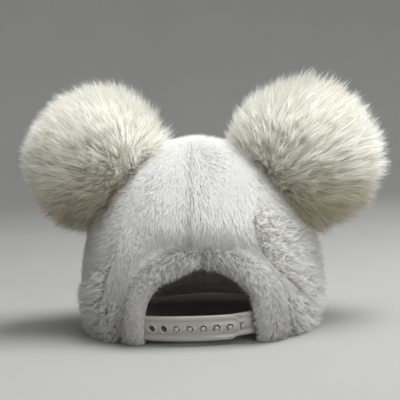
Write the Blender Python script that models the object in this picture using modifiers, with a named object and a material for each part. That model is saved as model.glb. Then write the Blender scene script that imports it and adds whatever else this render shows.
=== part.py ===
"""Plush snapback cap with two pompom ears.

The cap stands on its rim. +Z is up, the brim points to -Y and the open back to +Y.
The origin is the centre of the rim's opening, on the surface that the cap stands on.
An angle goes round the crown from the back centre, towards +X, the wearer's left.
A rise goes up the crown's wall, from 0 at the rim to 1 at the top.
"""

import math

import bmesh
import bpy
import numpy as np
from mathutils import Matrix, Vector

MM = 0.001

# Crown, measured on the inner face of its cloth
RIM_HALF_WIDTH = 80.0 * MM
RIM_HALF_LENGTH = 95.0 * MM
CROWN_DEPTH = 138.5 * MM
BELLY_HEIGHT = 28.0 * MM
BELLY_SWELL = 5.8 * MM
CROWN_LEAN = 6.0 * MM
BACK_FULLNESS = 2.02
FRONT_FULLNESS = 2.35
PLAN_FULLNESS = 2.08
RIM_ALLOWANCE = 4.0 * MM
TOP_EYE_RADIUS = 2.0 * MM

# Folds of the worn cloth: two ridges beside the open back, and the tuck above it
RIDGE_ANGLE = math.radians(38)
RIDGE_WIDTH = math.radians(13)
RIDGE_HEIGHT = 46.0 * MM
RIDGE_SPAN = 24.0 * MM
LEFT_RIDGE = 2.0 * MM
RIGHT_RIDGE = 3.5 * MM
TUCK_DEPTH = 7.0 * MM
TUCK_HEIGHT = 62.0 * MM
TUCK_SPAN = 18.0 * MM
TUCK_WIDTH = math.radians(30)

# Plush cloth: its knitted backing with the pile on it, and the locks of that pile
PLUSH_THICKNESS = 7.5 * MM
LOCK_RELIEF = 0.16
LOCK_LENGTH = 15.0 * MM
LOCK_WIDTH = 13.0 * MM
LOCK_TOP_FADE = 0.25
EDGE_THINNING = 0.30
EDGE_THINNING_WIDTH = 5.0 * MM
SEAM_GAP = 0.5 * MM

# Seams between the six panels: height as a share of the depth, angles in degrees
SEAM_COLUMNS = ("height", "centre_back", "left_side", "right_side", "front", "centre_front")
SEAM_TABLE = (
    (0.00, 0.0, 53.0, 57.0, 122.0, 180.0),
    (0.20, 0.5, 52.0, 54.0, 122.0, 180.0),
    (0.34, 1.2, 46.0, 37.0, 121.0, 180.0),
    (0.46, 2.0, 42.0, 30.0, 120.0, 180.0),
    (0.60, 2.0, 42.0, 28.0, 120.0, 180.0),
    (0.78, 1.5, 46.0, 40.0, 120.0, 180.0),
    (0.92, 0.5, 52.0, 57.0, 120.0, 180.0),
    (1.00, 0.0, 60.0, 60.0, 120.0, 180.0),
)

# Open back, as seen from behind, and the puffed hem sewn round it
ARCH_HALF_WIDTH = 39.5 * MM
ARCH_HEIGHT = 54.0 * MM
ARCH_FULLNESS = 2.4
HEM_WIDTH = 16.0 * MM
HEM_TOP_WIDTH = 11.5 * MM
HEM_WIDENING_SHARE = 0.5
HEM_THICKNESS = 9.5 * MM
HEM_EDGE_SHARE = 0.40
HEM_LOCK_LENGTH = 14.0 * MM
HEM_GAP = 0.6 * MM
ARCH_ROW_SHARE = 0.6

# Brim
BRIM_HALF_ANGLE = math.radians(72)
BRIM_HALF_WIDTH = 88.0 * MM
BRIM_REACH = 66.0 * MM
BRIM_WIDEST_AHEAD = 18.0 * MM
BRIM_FULLNESS = 2.3
BRIM_ARCH = 9.0 * MM
BRIM_THICKNESS = 5.5 * MM
BRIM_EDGE_SHARE = 0.55
BRIM_EDGE_START = 0.75
BRIM_CORNER_SHARE = 0.12
BRIM_GAP = 0.5 * MM
BRIM_CORNER_GAP = 1.0 * MM

# Snap strap: a piece with holes on the left, over a piece with pegs on the right
STRAP_HEIGHT = 12.4 * MM
STRAP_WIDTH = 18.4 * MM
PEG_STRAP_WIDTH = 17.6 * MM
PEG_STRAP_CLIMB = 0.055
STRAP_THICKNESS = 1.9 * MM
STRAP_GAP = 0.3 * MM
STRAP_SEWN_LENGTH = 13.0 * MM
NOSE_RADIUS = 6.5 * MM
NOSE_COLUMN_SHARE = 0.35
SNAP_COUNT = 7
SNAPS_CLOSED = 5
SNAP_PITCH = 9.5 * MM
FIRST_SNAP = -19.3 * MM
NOSE_PAST_SNAP = 7.5 * MM
HOLE_RADIUS = 2.5 * MM
PEG_RADIUS = 1.65 * MM
PEG_PROUD = 0.4 * MM

# Strap section, foot to top: height and thickness as shares of the strap's
STRAP_TABLE = (
    (0.00, 1.00),
    (0.10, 1.00),
    (0.12, 0.62),
    (0.30, 0.62),
    (0.32, 0.74),
    (0.68, 0.74),
    (0.70, 0.62),
    (0.87, 0.62),
    (0.90, 1.00),
    (1.00, 1.00),
)

# Pompoms: centre's distance to the side and height above the rim, the ball's radius,
# and the flat side pressed to the crown: its distance from the centre and its slope
LEFT_POMPOM_SIDE = 77.5 * MM
LEFT_POMPOM_HEIGHT = 132.5 * MM
LEFT_POMPOM_RADIUS = 59.0 * MM
LEFT_POMPOM_SEAT = 37.0 * MM
LEFT_POMPOM_SLOPE = math.radians(37)
RIGHT_POMPOM_SIDE = 83.0 * MM
RIGHT_POMPOM_HEIGHT = 128.5 * MM
RIGHT_POMPOM_RADIUS = 63.0 * MM
RIGHT_POMPOM_SEAT = 34.0 * MM
RIGHT_POMPOM_SLOPE = math.radians(43)
POMPOM_AHEAD = 4.0 * MM
POMPOM_LOCKS = 290
POMPOM_LOCK_DEPTH = 6.5 * MM
POMPOM_LOCK_VARIATION = 0.035
POMPOM_GAP = 0.5 * MM
POMPOM_SEED = 5

# Facets: cells across and up each open surface, and sides round a small cylinder
SIDE_CELLS = (8, 20)
FRONT_CELLS = (7, 20)
BACK_CELLS = (8, 20)
HEM_CELLS = (24, 5)
BRIM_CELLS = (24, 5)
STRAP_CELLS = 16
CUTTER_CELLS = (72, 30)
ROUND_SIDES = 12
CUTTER_REACH = 30.0 * MM
SHARP_ANGLE = math.radians(40)

# Finishes: base colour, roughness, metallic
FINISHES = {
    "white_plush": ((0.86, 0.86, 0.85, 1.0), 0.95, 0.0),
    "cream_pompom": ((0.80, 0.79, 0.70, 1.0), 0.9, 0.0),
    "milky_plastic": ((0.78, 0.77, 0.75, 1.0), 0.35, 0.0),
}


def clear_scene():
    for obj in list(bpy.data.objects):
        bpy.data.objects.remove(obj, do_unlink=True)


def new_collection(name):
    collection = bpy.data.collections.new(name)
    bpy.context.scene.collection.children.link(collection)
    return collection


def finish_material(name):
    """A Principled material with the finish's colour, roughness and metallic value."""
    material = bpy.data.materials.get(name)
    if material is None:
        material = bpy.data.materials.new(name)
        material.use_nodes = True
        shader = material.node_tree.nodes["Principled BSDF"]
        colour, roughness, metallic = FINISHES[name]
        shader.inputs["Base Color"].default_value = colour
        shader.inputs["Roughness"].default_value = roughness
        shader.inputs["Metallic"].default_value = metallic
    return material


def new_object(name, shape, collection, finish=None):
    """An object from a bmesh, which it frees."""
    mesh = bpy.data.meshes.new(name)
    shape.to_mesh(mesh)
    shape.free()
    mesh.shade_smooth()
    mesh.set_sharp_from_angle(angle=SHARP_ANGLE)
    if finish:
        mesh.materials.append(finish_material(finish))
    obj = bpy.data.objects.new(name, mesh)
    collection.objects.link(obj)
    return obj


def as_cutter(obj):
    obj.hide_render = True
    obj.display_type = "WIRE"
    return obj


def combine(obj, operation, others):
    for other in others:
        modifier = obj.modifiers.new(f"{operation.title()} {other.name}", "BOOLEAN")
        modifier.operation = operation
        modifier.object = other


def smooth_step(value):
    share = np.clip(value, 0.0, 1.0)
    return share * share * (3.0 - 2.0 * share)


def bell(value):
    """1 where value is 0, falling smoothly to nothing beyond about 2 either way."""
    return np.exp(-(value**2))


def power_of(value, fullness):
    """A sine or cosine reshaped, so that a circle becomes a fuller rounded rectangle."""
    return np.sign(value) * np.abs(value) ** (2.0 / fullness)


def belly_rise():
    """The rise of the crown's widest level: its height over the wall's whole length."""
    dome_radii = (RIM_HALF_WIDTH + BELLY_SWELL, CROWN_DEPTH - BELLY_HEIGHT)
    dome_length = math.pi / 2 * math.sqrt(sum(r * r for r in dome_radii) / 2)
    return BELLY_HEIGHT / (BELLY_HEIGHT + dome_length)


BELLY_RISE = belly_rise()
RIM_RISE = -BELLY_RISE * RIM_ALLOWANCE / BELLY_HEIGHT


def top_rise():
    """The rise where the panels stop, round the small eye at the top."""
    share = TOP_EYE_RADIUS / (RIM_HALF_WIDTH + BELLY_SWELL)
    turn = math.acos(share ** (BACK_FULLNESS / 2.0))
    return BELLY_RISE + (1.0 - BELLY_RISE) * turn / (math.pi / 2)


TOP_RISE = top_rise()


def fullness_at(angle):
    """How square the wall's shoulder is: fuller at the front than at the back."""
    return BACK_FULLNESS + (FRONT_FULLNESS - BACK_FULLNESS) * (1.0 - np.cos(angle)) / 2.0


def meridian(rise, fullness):
    """(radius as a share of the belly's, how far below the belly from 0 to 1, height)."""
    low = np.minimum(rise / BELLY_RISE, 1.0)
    turn = np.clip((rise - BELLY_RISE) / (1.0 - BELLY_RISE), 0.0, 1.0) * math.pi / 2
    radius = power_of(np.maximum(np.cos(turn), 0.0), fullness)
    height = BELLY_HEIGHT * low + (CROWN_DEPTH - BELLY_HEIGHT) * power_of(np.sin(turn), fullness)
    return radius, 1.0 - low, height


def wall_reach(half_size, radius, below):
    """The wall's distance from the axis, where the rim is half_size from it."""
    return (half_size + BELLY_SWELL) * radius - BELLY_SWELL * below**2


def fold_depth(angle, height):
    """How far the ridges push the cloth out, less how far the tuck pulls it in."""
    wrapped = (angle + math.pi) % (2 * math.pi) - math.pi
    ridge = np.where(wrapped > 0, LEFT_RIDGE, RIGHT_RIDGE)
    ridge = ridge * bell((np.abs(wrapped) - RIDGE_ANGLE) / RIDGE_WIDTH)
    ridge = ridge * bell((height - RIDGE_HEIGHT) / RIDGE_SPAN)
    tuck = TUCK_DEPTH * bell(wrapped / TUCK_WIDTH) * bell((height - TUCK_HEIGHT) / TUCK_SPAN)
    return ridge - tuck


def crown_skin(angle, rise):
    """Points on the inner face of the crown's cloth.

    A level cut is a rounded rectangle near an ellipse. The wall swells from the rim to
    the belly and closes over as a dome, whose top leans a little to the front.
    """
    angle, rise = np.broadcast_arrays(np.asarray(angle, float), np.asarray(rise, float))
    radius, below, height = meridian(rise, fullness_at(angle))
    out = fold_depth(angle, height)
    wide = wall_reach(RIM_HALF_WIDTH, radius, below)
    long = wall_reach(RIM_HALF_LENGTH, radius, below)
    x = wide * power_of(np.sin(angle), PLAN_FULLNESS) + out * np.sin(angle)
    y = long * power_of(np.cos(angle), PLAN_FULLNESS) + out * np.cos(angle)
    return np.stack([x, y - CROWN_LEAN * (height / CROWN_DEPTH) ** 2, height], axis=-1)


def crown_normal(angle, rise):
    """Unit normals of the crown, out of the head, from small differences."""
    step = 1e-4
    angle, rise = np.asarray(angle, float), np.minimum(rise, TOP_RISE)
    round_it = crown_skin(angle + step, rise) - crown_skin(angle - step, rise)
    up_it = crown_skin(angle, rise + step) - crown_skin(angle, rise - step)
    normal = np.cross(up_it, round_it)
    return normal / np.linalg.norm(normal, axis=-1, keepdims=True)


def rise_at(height):
    """The rise at which the back of the wall reaches a height."""
    rises = np.linspace(2 * RIM_RISE, 1.0, 400)
    return np.interp(height, meridian(rises, BACK_FULLNESS)[2], rises)


def on_wall(x, height):
    """(angle, rise) of the wall's point that lies at x and height, seen from behind."""
    rise = rise_at(height)
    radius, below, _ = meridian(rise, BACK_FULLNESS)
    share = np.clip(x / wall_reach(RIM_HALF_WIDTH, radius, below), -1.0, 1.0)
    return np.arcsin(np.sign(share) * np.abs(share) ** (PLAN_FULLNESS / 2.0)), rise


def seam_angle(seam, rise, side):
    """The angle of a seam, in radians. The sides of the right half are below 0."""
    rows = np.array(SEAM_TABLE)
    height = meridian(np.asarray(rise, float), BACK_FULLNESS)[2]
    column = SEAM_COLUMNS.index(seam)
    angle = np.radians(np.interp(height / CROWN_DEPTH, rows[:, 0], rows[:, column]))
    return angle if seam == "centre_back" else side * angle


def half_gap_angle(rise):
    """Half of a seam's gap, as an angle at this rise."""
    radius, below, _ = meridian(rise, BACK_FULLNESS)
    reach = wall_reach(RIM_HALF_WIDTH, radius, below)
    return SEAM_GAP / 2.0 / np.maximum(reach, TOP_EYE_RADIUS)


def arch_outline():
    """(x, height) down the left half of the arch: a rounded rectangle's upper quarter."""
    turn = np.linspace(0.0, math.pi / 2, 200)
    x = ARCH_HALF_WIDTH * power_of(np.sin(turn), ARCH_FULLNESS)
    z = ARCH_HEIGHT * power_of(np.cos(turn), ARCH_FULLNESS)
    return np.append(x, x[-1]), np.append(z, -RIM_ALLOWANCE)


def arch_point(grow, share):
    """(x, height) out from the arch by grow, from -1 at its right foot to 1 at its left."""
    x, z = arch_outline()
    steps = np.hypot(np.diff(x), np.diff(z))
    length = np.concatenate([[0.0], np.cumsum(steps)])
    at = np.abs(share) * length[-1]
    middles = (length[1:] + length[:-1]) / 2
    out_x = np.interp(at, middles, -np.diff(z) / steps)
    out_z = np.interp(at, middles, np.diff(x) / steps)
    size = np.hypot(out_x, out_z)
    arch_x = np.interp(at, length, x) + grow * out_x / size
    return np.sign(share) * arch_x, np.interp(at, length, z) + grow * out_z / size


def pile_share(angle, rise, from_edge):
    """How deep the pile stands, as a share of its full depth.

    It lies in overlapping locks, each thickest just above its tip, and thins at an edge.
    """
    round_it = angle * (RIM_HALF_WIDTH + BELLY_SWELL) / LOCK_WIDTH
    row = rise * BELLY_HEIGHT / BELLY_RISE / LOCK_LENGTH
    up_lock = row - np.floor(row)
    across_lock = np.cos(2 * math.pi * (round_it + 0.5 * (np.floor(row) % 2)))
    near_top = smooth_step((TOP_RISE - rise) / LOCK_TOP_FADE)
    relief = LOCK_RELIEF * (0.5 + 0.5 * across_lock * near_top) * (0.5 + 0.5 * up_lock)
    edge = EDGE_THINNING * (1.0 - smooth_step(from_edge / EDGE_THINNING_WIDTH))
    return 1.0 - relief - edge


def sheet(name, cells, place, thickness, collection, finish=None, face_out=True):
    """A grid laid by a place function, with a Solidify wall as deep as its shares say.

    place turns (across, up), each from 0 to 1, into points and shares of the thickness.
    """
    shape = bmesh.new()
    bmesh.ops.create_grid(shape, x_segments=cells[0], y_segments=cells[1], size=0.5)
    flat = np.array([vert.co[:2] for vert in shape.verts]) + 0.5
    points, shares = place(flat[:, 0], flat[:, 1])
    for vert, point in zip(shape.verts, points):
        vert.co = point
    if not face_out:
        bmesh.ops.reverse_faces(shape, faces=shape.faces)
    obj = new_object(name, shape, collection, finish)
    group = obj.vertex_groups.new(name="depth")
    for index, share in enumerate(shares):
        group.add([index], float(share), "REPLACE")
    wall = obj.modifiers.new("Wall", "SOLIDIFY")
    wall.thickness = thickness
    wall.offset = 1.0
    wall.vertex_group = group.name
    return obj


def panel_place(near_seam, far_seam, side):
    """The place function of a panel that runs from the rim to the top between two seams."""

    def place(across, up):
        rise = RIM_RISE + (TOP_RISE - RIM_RISE) * up
        gap = side * half_gap_angle(rise)
        near = seam_angle(near_seam, rise, side) + gap
        far = seam_angle(far_seam, rise, side) - gap
        angle = near + (far - near) * across
        to_edge = np.minimum(across, 1.0 - across) * np.abs(far - near) * RIM_HALF_WIDTH
        return crown_skin(angle, rise), pile_share(angle, rise, to_edge)

    return place


def hem_width(share):
    """The hem's width round the arch: narrow over the opening and wide at its feet."""
    widening = smooth_step(np.abs(share) / HEM_WIDENING_SHARE)
    return HEM_TOP_WIDTH + (HEM_WIDTH - HEM_TOP_WIDTH) * widening


def back_inner_edge(side, up):
    """(angle, rise) up a back panel's inner edge: round the open back, then up the seam."""
    apex_rise = rise_at(ARCH_HEIGHT + HEM_TOP_WIDTH + HEM_GAP)
    apex_angle = seam_angle("centre_back", apex_rise, side) + side * half_gap_angle(apex_rise)
    apex_share = apex_angle * RIM_HALF_WIDTH / (ARCH_HEIGHT + ARCH_HALF_WIDTH)
    down = np.clip(1.0 - up / ARCH_ROW_SHARE, 0.0, 1.0)
    share = apex_share + (side - apex_share) * down
    x, height = arch_point(hem_width(share) + HEM_GAP, share)
    arch_angle, arch_rise = on_wall(x, height)
    above = np.clip((up - ARCH_ROW_SHARE) / (1.0 - ARCH_ROW_SHARE), 0.0, 1.0)
    seam_rise = apex_rise + (TOP_RISE - apex_rise) * above
    seam = seam_angle("centre_back", seam_rise, side) + side * half_gap_angle(seam_rise)
    on_arch = up < ARCH_ROW_SHARE - 1e-6
    return np.where(on_arch, arch_angle, seam), np.where(on_arch, arch_rise, seam_rise)


def back_place(side, seam):
    """The place function of a back panel, which goes round the open back."""

    def place(across, up):
        inner_angle, inner_rise = back_inner_edge(side, up)
        outer_rise = RIM_RISE + (TOP_RISE - RIM_RISE) * up
        outer_angle = seam_angle(seam, outer_rise, side) - side * half_gap_angle(outer_rise)
        angle = inner_angle + (outer_angle - inner_angle) * across
        rise = inner_rise + (outer_rise - inner_rise) * across
        width = np.abs(outer_angle - inner_angle) * RIM_HALF_WIDTH
        to_edge = np.minimum(across, 1.0 - across) * width
        return crown_skin(angle, rise), pile_share(angle, rise, to_edge)

    return place


def hem_place(across, up):
    """The hem: a roll round the arch, from the right foot over to the left one."""
    share = 2.0 * across - 1.0
    angle, rise = on_wall(*arch_point(hem_width(share) * up, share))
    around = share * (ARCH_HALF_WIDTH + ARCH_HEIGHT) / HEM_LOCK_LENGTH
    lock = 1.0 - LOCK_RELIEF * (0.5 + 0.5 * np.cos(2 * math.pi * around)) * (1.0 - up)
    roll = HEM_EDGE_SHARE + (1.0 - HEM_EDGE_SHARE) * np.sin(math.pi * up)
    return crown_skin(angle, rise), roll * lock


def brim_edges(across, grow):
    """(inner, outer) points in plan: along the crown's wall, and round the brim's edge."""
    turn = (2.0 * across - 1.0) * (BRIM_HALF_ANGLE + grow / RIM_HALF_WIDTH)
    inner = crown_skin(math.pi - turn, rise_at(BRIM_ARCH))[:, :2]
    corner = crown_skin(math.pi - BRIM_HALF_ANGLE, rise_at(0.0))
    widest_y = corner[1] - BRIM_WIDEST_AHEAD
    front_y = -(RIM_HALF_LENGTH + PLUSH_THICKNESS + BRIM_REACH)
    reached = np.abs(2.0 * across - 1.0)
    side = np.sign(2.0 * across - 1.0)
    sweep = np.minimum(reached / (1.0 - BRIM_CORNER_SHARE), 1.0) * math.pi / 2
    x = (BRIM_HALF_WIDTH + grow) * power_of(np.sin(sweep), BRIM_FULLNESS)
    y = widest_y + (front_y - grow - widest_y) * power_of(np.cos(sweep), BRIM_FULLNESS)
    back = np.clip(1.0 - (1.0 - reached) / BRIM_CORNER_SHARE, 0.0, 1.0)
    x = x + (np.abs(inner[:, 0]) + PLUSH_THICKNESS + grow - x) * back**2
    y = y + (inner[:, 1] + grow - y) * back
    return inner, np.stack([side * x, y], axis=-1)


def brim_place(across, up):
    """The brim's under face, arched from side to side, thinner at its edge."""
    inner, outer = brim_edges(across, 0.0)
    plan = inner + (outer - inner) * up[:, None]
    height = BRIM_ARCH * (1.0 - (plan[:, 0] / BRIM_HALF_WIDTH) ** 2)
    at_edge = smooth_step((up - BRIM_EDGE_START) / (1.0 - BRIM_EDGE_START))
    return np.column_stack([plan, height]), 1.0 - (1.0 - BRIM_EDGE_SHARE) * at_edge


def brim_space_place(across, up):
    """The brim's upper face raised by its gap: what the crown's cloth stops short of."""
    inner, outer = brim_edges(across, BRIM_CORNER_GAP)
    inner = inner * (1.0 - PLUSH_THICKNESS / RIM_HALF_WIDTH)
    plan = inner + (outer - inner) * up[:, None]
    level = BRIM_ARCH * (1.0 - (plan[:, 0] / BRIM_HALF_WIDTH) ** 2)
    height = level + BRIM_THICKNESS + BRIM_GAP
    return np.column_stack([plan, height]), np.ones_like(up)


def strap_angle(along, height):
    """The angle whose distance along the wall from the back centre is along."""
    angles = np.linspace(-math.pi / 2, math.pi / 2, 361)
    points = crown_skin(angles, rise_at(height))
    steps = np.linalg.norm(np.diff(points, axis=0), axis=1)
    length = np.concatenate([[0.0], np.cumsum(steps)])
    return np.interp(along, length - length[len(length) // 2], angles)


def strap_surface(along, height, depth):
    """Points and normals inside the wall, at a depth from its inner face."""
    angle = strap_angle(along, STRAP_HEIGHT)
    rise = rise_at(height)
    normal = crown_normal(angle, rise)
    return crown_skin(angle, rise) - normal * np.asarray(depth)[..., None], normal


def strap_place(nose, root, width, climb, depth):
    """The place function of one strap piece, from its rounded nose to its sewn root."""
    rows = np.array(STRAP_TABLE)

    def place(across, up):
        stops = (nose, nose + math.copysign(NOSE_RADIUS, root - nose), root)
        along = np.interp(across, (0.0, NOSE_COLUMN_SHARE, 1.0), stops)
        row = up * (len(rows) - 1)
        level = np.interp(row, np.arange(len(rows)), rows[:, 0])
        share = np.interp(row, np.arange(len(rows)), rows[:, 1])
        short = np.clip(1.0 - np.abs(along - nose) / NOSE_RADIUS, 0.0, 1.0)
        cut_in = NOSE_RADIUS * (1.0 - np.sqrt(1.0 - short**2))
        centre = STRAP_HEIGHT - climb * np.minimum(along - FIRST_SNAP, 0.0)
        height = centre + (level - 0.5) * (width - 2.0 * cut_in)
        points, _ = strap_surface(along, height, np.full_like(up, depth))
        return points, share

    return place


def snap_points(count, first):
    """Distances of the snaps along the strap, from the right to the left."""
    return [first + SNAP_PITCH * index for index in range(count)]


def snap_rods(name, places, climb, radius, start, end, collection):
    """Cylinders at the snaps, from one depth inside the wall out to another."""
    shape = bmesh.new()
    for along in places:
        height = STRAP_HEIGHT - climb * min(along - FIRST_SNAP, 0.0)
        middle, normal = strap_surface(along, height, (start + end) / 2)
        turn = Vector((0.0, 0.0, 1.0)).rotation_difference(Vector(normal)).to_matrix()
        bmesh.ops.create_cone(
            shape,
            cap_ends=True,
            segments=ROUND_SIDES,
            radius1=radius,
            radius2=radius,
            depth=start - end,
            matrix=Matrix.Translation(middle) @ turn.to_4x4(),
        )
    return as_cutter(new_object(name, shape, collection))


def make_floor_cutter(collection):
    """A block below the surface that the cap stands on."""
    shape = bmesh.new()
    size = 4.0 * (RIM_HALF_LENGTH + BRIM_REACH)
    lowered = Matrix.Translation((0.0, 0.0, -CUTTER_REACH / 2))
    flattened = Matrix.Diagonal((size, size, CUTTER_REACH, 1.0))
    bmesh.ops.create_cube(shape, size=1.0, matrix=lowered @ flattened)
    return as_cutter(new_object("floor_cutter", shape, collection))


def make_crown_cutter(collection):
    """The crown's full outer form, grown by the pompoms' gap, closed at the rim."""
    across, up = CUTTER_CELLS
    shape = bmesh.new()
    bmesh.ops.create_uvsphere(shape, u_segments=across, v_segments=up, radius=1.0)
    for vert in shape.verts:
        level = 1.0 - math.acos(max(-1.0, min(1.0, vert.co.z))) / math.pi
        angle = math.atan2(vert.co.x, vert.co.y)
        rise = RIM_RISE + (TOP_RISE - RIM_RISE) * level
        point = crown_skin(angle, rise)
        point = point + crown_normal(angle, rise) * (PLUSH_THICKNESS + POMPOM_GAP)
        vert.co = point if 0.0 < level < 1.0 else (0.0, point[1] * level, point[2])
    return as_cutter(new_object("crown_cutter", shape, collection))


def make_crown(parts, cutters):
    """The six panels of the crown and the hem, which stop on the floor and above the brim."""
    floor = make_floor_cutter(cutters)
    space = sheet("brim_space", BRIM_CELLS, brim_space_place, CUTTER_REACH, cutters)
    as_cutter(space)
    for word, side in (("left", 1), ("right", -1)):
        edge = f"{word}_side"
        layout = (
            (f"crown_back_{word}", BACK_CELLS, back_place(side, edge), [floor]),
            (f"crown_side_{word}", SIDE_CELLS, panel_place(edge, "front", side), [floor, space]),
            (
                f"crown_front_{word}",
                FRONT_CELLS,
                panel_place("front", "centre_front", side),
                [floor, space],
            ),
        )
        for name, cells, place, cut_by in layout:
            panel = sheet(name, cells, place, PLUSH_THICKNESS, parts, "white_plush", side < 0)
            combine(panel, "DIFFERENCE", cut_by)
    hem = sheet("back_hem", HEM_CELLS, hem_place, HEM_THICKNESS, parts, "white_plush", False)
    combine(hem, "DIFFERENCE", [floor])


def make_brim(parts):
    sheet("brim", BRIM_CELLS, brim_place, BRIM_THICKNESS, parts, "white_plush", False)


def make_straps(parts, cutters):
    """The outer piece with its row of holes, and the inner one whose pegs fill five of them."""
    outer_depth = STRAP_GAP + STRAP_THICKNESS
    inner_depth = outer_depth + STRAP_GAP + STRAP_THICKNESS
    root = ARCH_HALF_WIDTH + STRAP_SEWN_LENGTH
    holes = snap_points(SNAP_COUNT, FIRST_SNAP)
    pegs = snap_points(SNAP_COUNT, FIRST_SNAP - (SNAP_COUNT - SNAPS_CLOSED) * SNAP_PITCH)
    cells = (STRAP_CELLS, len(STRAP_TABLE) - 1)

    nose = holes[0] - NOSE_PAST_SNAP
    place = strap_place(nose, root, STRAP_WIDTH, 0.0, outer_depth)
    left = sheet("strap_left", cells, place, STRAP_THICKNESS, parts, "milky_plastic", False)
    through = (outer_depth + STRAP_THICKNESS, -STRAP_THICKNESS)
    cutter = snap_rods("strap_holes", holes, 0.0, HOLE_RADIUS, *through, cutters)
    combine(left, "DIFFERENCE", [cutter])

    nose = pegs[-1] + NOSE_PAST_SNAP
    place = strap_place(nose, -root, PEG_STRAP_WIDTH, PEG_STRAP_CLIMB, inner_depth)
    right = sheet("strap_right", cells, place, STRAP_THICKNESS, parts, "milky_plastic")
    reach = (inner_depth - STRAP_THICKNESS / 3, STRAP_GAP - PEG_PROUD)
    rods = snap_rods("strap_pegs", pegs, PEG_STRAP_CLIMB, PEG_RADIUS, *reach, cutters)
    combine(right, "UNION", [rods])


def ball_points(count, generator):
    """Points spread evenly over a unit ball along a spiral, each moved a little."""
    index = np.arange(count) + 0.5
    height = 1.0 - 2.0 * index / count
    turn = index * math.pi * (3.0 - math.sqrt(5.0))
    level = np.sqrt(1.0 - height**2)
    points = np.stack([level * np.cos(turn), level * np.sin(turn), height], axis=-1)
    points += generator.normal(0.0, POMPOM_LOCK_VARIATION, points.shape)
    return points / np.linalg.norm(points, axis=1, keepdims=True)


def press_to_seat(points, centre, seat, slope):
    """Pushes points that lie beyond the pompom's flat side back onto it."""
    inwards = np.array((-math.copysign(math.cos(slope), centre[0]), 0.0, -math.sin(slope)))
    beyond = np.maximum((points - centre) @ inwards - seat, 0.0)
    return points - beyond[:, None] * inwards


def make_pompom(name, centre, radius, seat, slope, parts, cutter):
    """A ball of fur locks: a spiral of tips, joined by facets whose middles are drawn in."""
    generator = np.random.default_rng(POMPOM_SEED)
    tips = ball_points(POMPOM_LOCKS, generator)
    tips *= radius * (1.0 - POMPOM_LOCK_VARIATION * generator.random((POMPOM_LOCKS, 1)))
    shape = bmesh.new()
    for tip in press_to_seat(tips + centre, centre, seat, slope):
        shape.verts.new(tip)
    bmesh.ops.convex_hull(shape, input=shape.verts)
    bmesh.ops.recalc_face_normals(shape, faces=shape.faces)
    poked = bmesh.ops.poke(shape, faces=shape.faces)
    for vert in poked["verts"]:
        inwards = (Vector(centre) - vert.co).normalized()
        vert.co += inwards * POMPOM_LOCK_DEPTH
    pompom = new_object(name, shape, parts, "cream_pompom")
    combine(pompom, "DIFFERENCE", [cutter])


def make_pompoms(parts, cutters):
    cutter = make_crown_cutter(cutters)
    left = np.array((LEFT_POMPOM_SIDE, -POMPOM_AHEAD, LEFT_POMPOM_HEIGHT))
    right = np.array((-RIGHT_POMPOM_SIDE, -POMPOM_AHEAD, RIGHT_POMPOM_HEIGHT))
    left_form = (left, LEFT_POMPOM_RADIUS, LEFT_POMPOM_SEAT, LEFT_POMPOM_SLOPE)
    right_form = (right, RIGHT_POMPOM_RADIUS, RIGHT_POMPOM_SEAT, RIGHT_POMPOM_SLOPE)
    make_pompom("pompom_left", *left_form, parts, cutter)
    make_pompom("pompom_right", *right_form, parts, cutter)


def main():
    clear_scene()
    parts = new_collection("snapback_cap_with_ears")
    cutters = new_collection("cutters")
    make_crown(parts, cutters)
    make_brim(parts)
    make_straps(parts, cutters)
    make_pompoms(parts, cutters)


main()
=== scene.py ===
"""The looks of a plush snapback cap with two pompom ears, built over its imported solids.

The cap stands on its rim. +Z is up, the brim points to -Y and the open back to +Y.
An angle goes round the crown from the back centre, towards +X, the wearer's left.
A rise goes up the crown's wall, from 0 at the rim to 1 at the top.
Lengths are in metres and angles in radians, unless a name or comment says otherwise.
"""

import itertools
import math

import bpy
import numpy as np
from mathutils import Matrix, Vector


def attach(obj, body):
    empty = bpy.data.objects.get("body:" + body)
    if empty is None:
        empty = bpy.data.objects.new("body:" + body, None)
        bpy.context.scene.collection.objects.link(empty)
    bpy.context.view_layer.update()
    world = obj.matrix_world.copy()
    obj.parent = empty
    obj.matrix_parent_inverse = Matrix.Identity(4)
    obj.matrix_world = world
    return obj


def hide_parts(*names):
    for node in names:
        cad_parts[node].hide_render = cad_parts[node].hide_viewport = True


bl_info = {
    "name": "Plush Snapback Cap with Pompom Ears",
    "version": (1, 0, 0),
    "blender": (4, 5, 0),
    "location": "View3D > Sidebar > Plush Cap",
    "description": "Builds a plush cap with pompom ears, a snap strap and its fur",
    "category": "Add Mesh",
}

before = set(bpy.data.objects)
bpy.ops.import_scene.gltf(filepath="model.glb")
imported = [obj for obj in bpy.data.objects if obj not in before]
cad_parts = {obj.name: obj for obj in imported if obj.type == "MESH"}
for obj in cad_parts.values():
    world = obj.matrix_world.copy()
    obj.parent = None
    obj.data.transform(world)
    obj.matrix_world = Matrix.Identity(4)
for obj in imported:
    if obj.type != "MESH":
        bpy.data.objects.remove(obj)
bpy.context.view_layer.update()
MM = 0.001
FULL_TURN = 2.0 * math.pi
# Against rounding, and against a division by nothing
TINY = 1e-6

# Samples of the curves that are read backwards, from a value to its place
RISE_SAMPLES = 400
LOWEST_RISE = -0.1
ARCH_SAMPLES = 200
WALL_SAMPLES = 361

# Crown, on the inner face of its cloth, as in the solids
RIM_HALF_WIDTH = 80.0 * MM
RIM_HALF_LENGTH = 95.0 * MM
CROWN_DEPTH = 138.5 * MM
BELLY_HEIGHT = 28.0 * MM
BELLY_SWELL = 5.8 * MM
CROWN_LEAN = 6.0 * MM
BACK_FULLNESS = 2.02
FRONT_FULLNESS = 2.35
PLAN_FULLNESS = 2.08
TOP_EYE_RADIUS = 0.3 * MM
SLOPE_STEP = 1e-4

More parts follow.
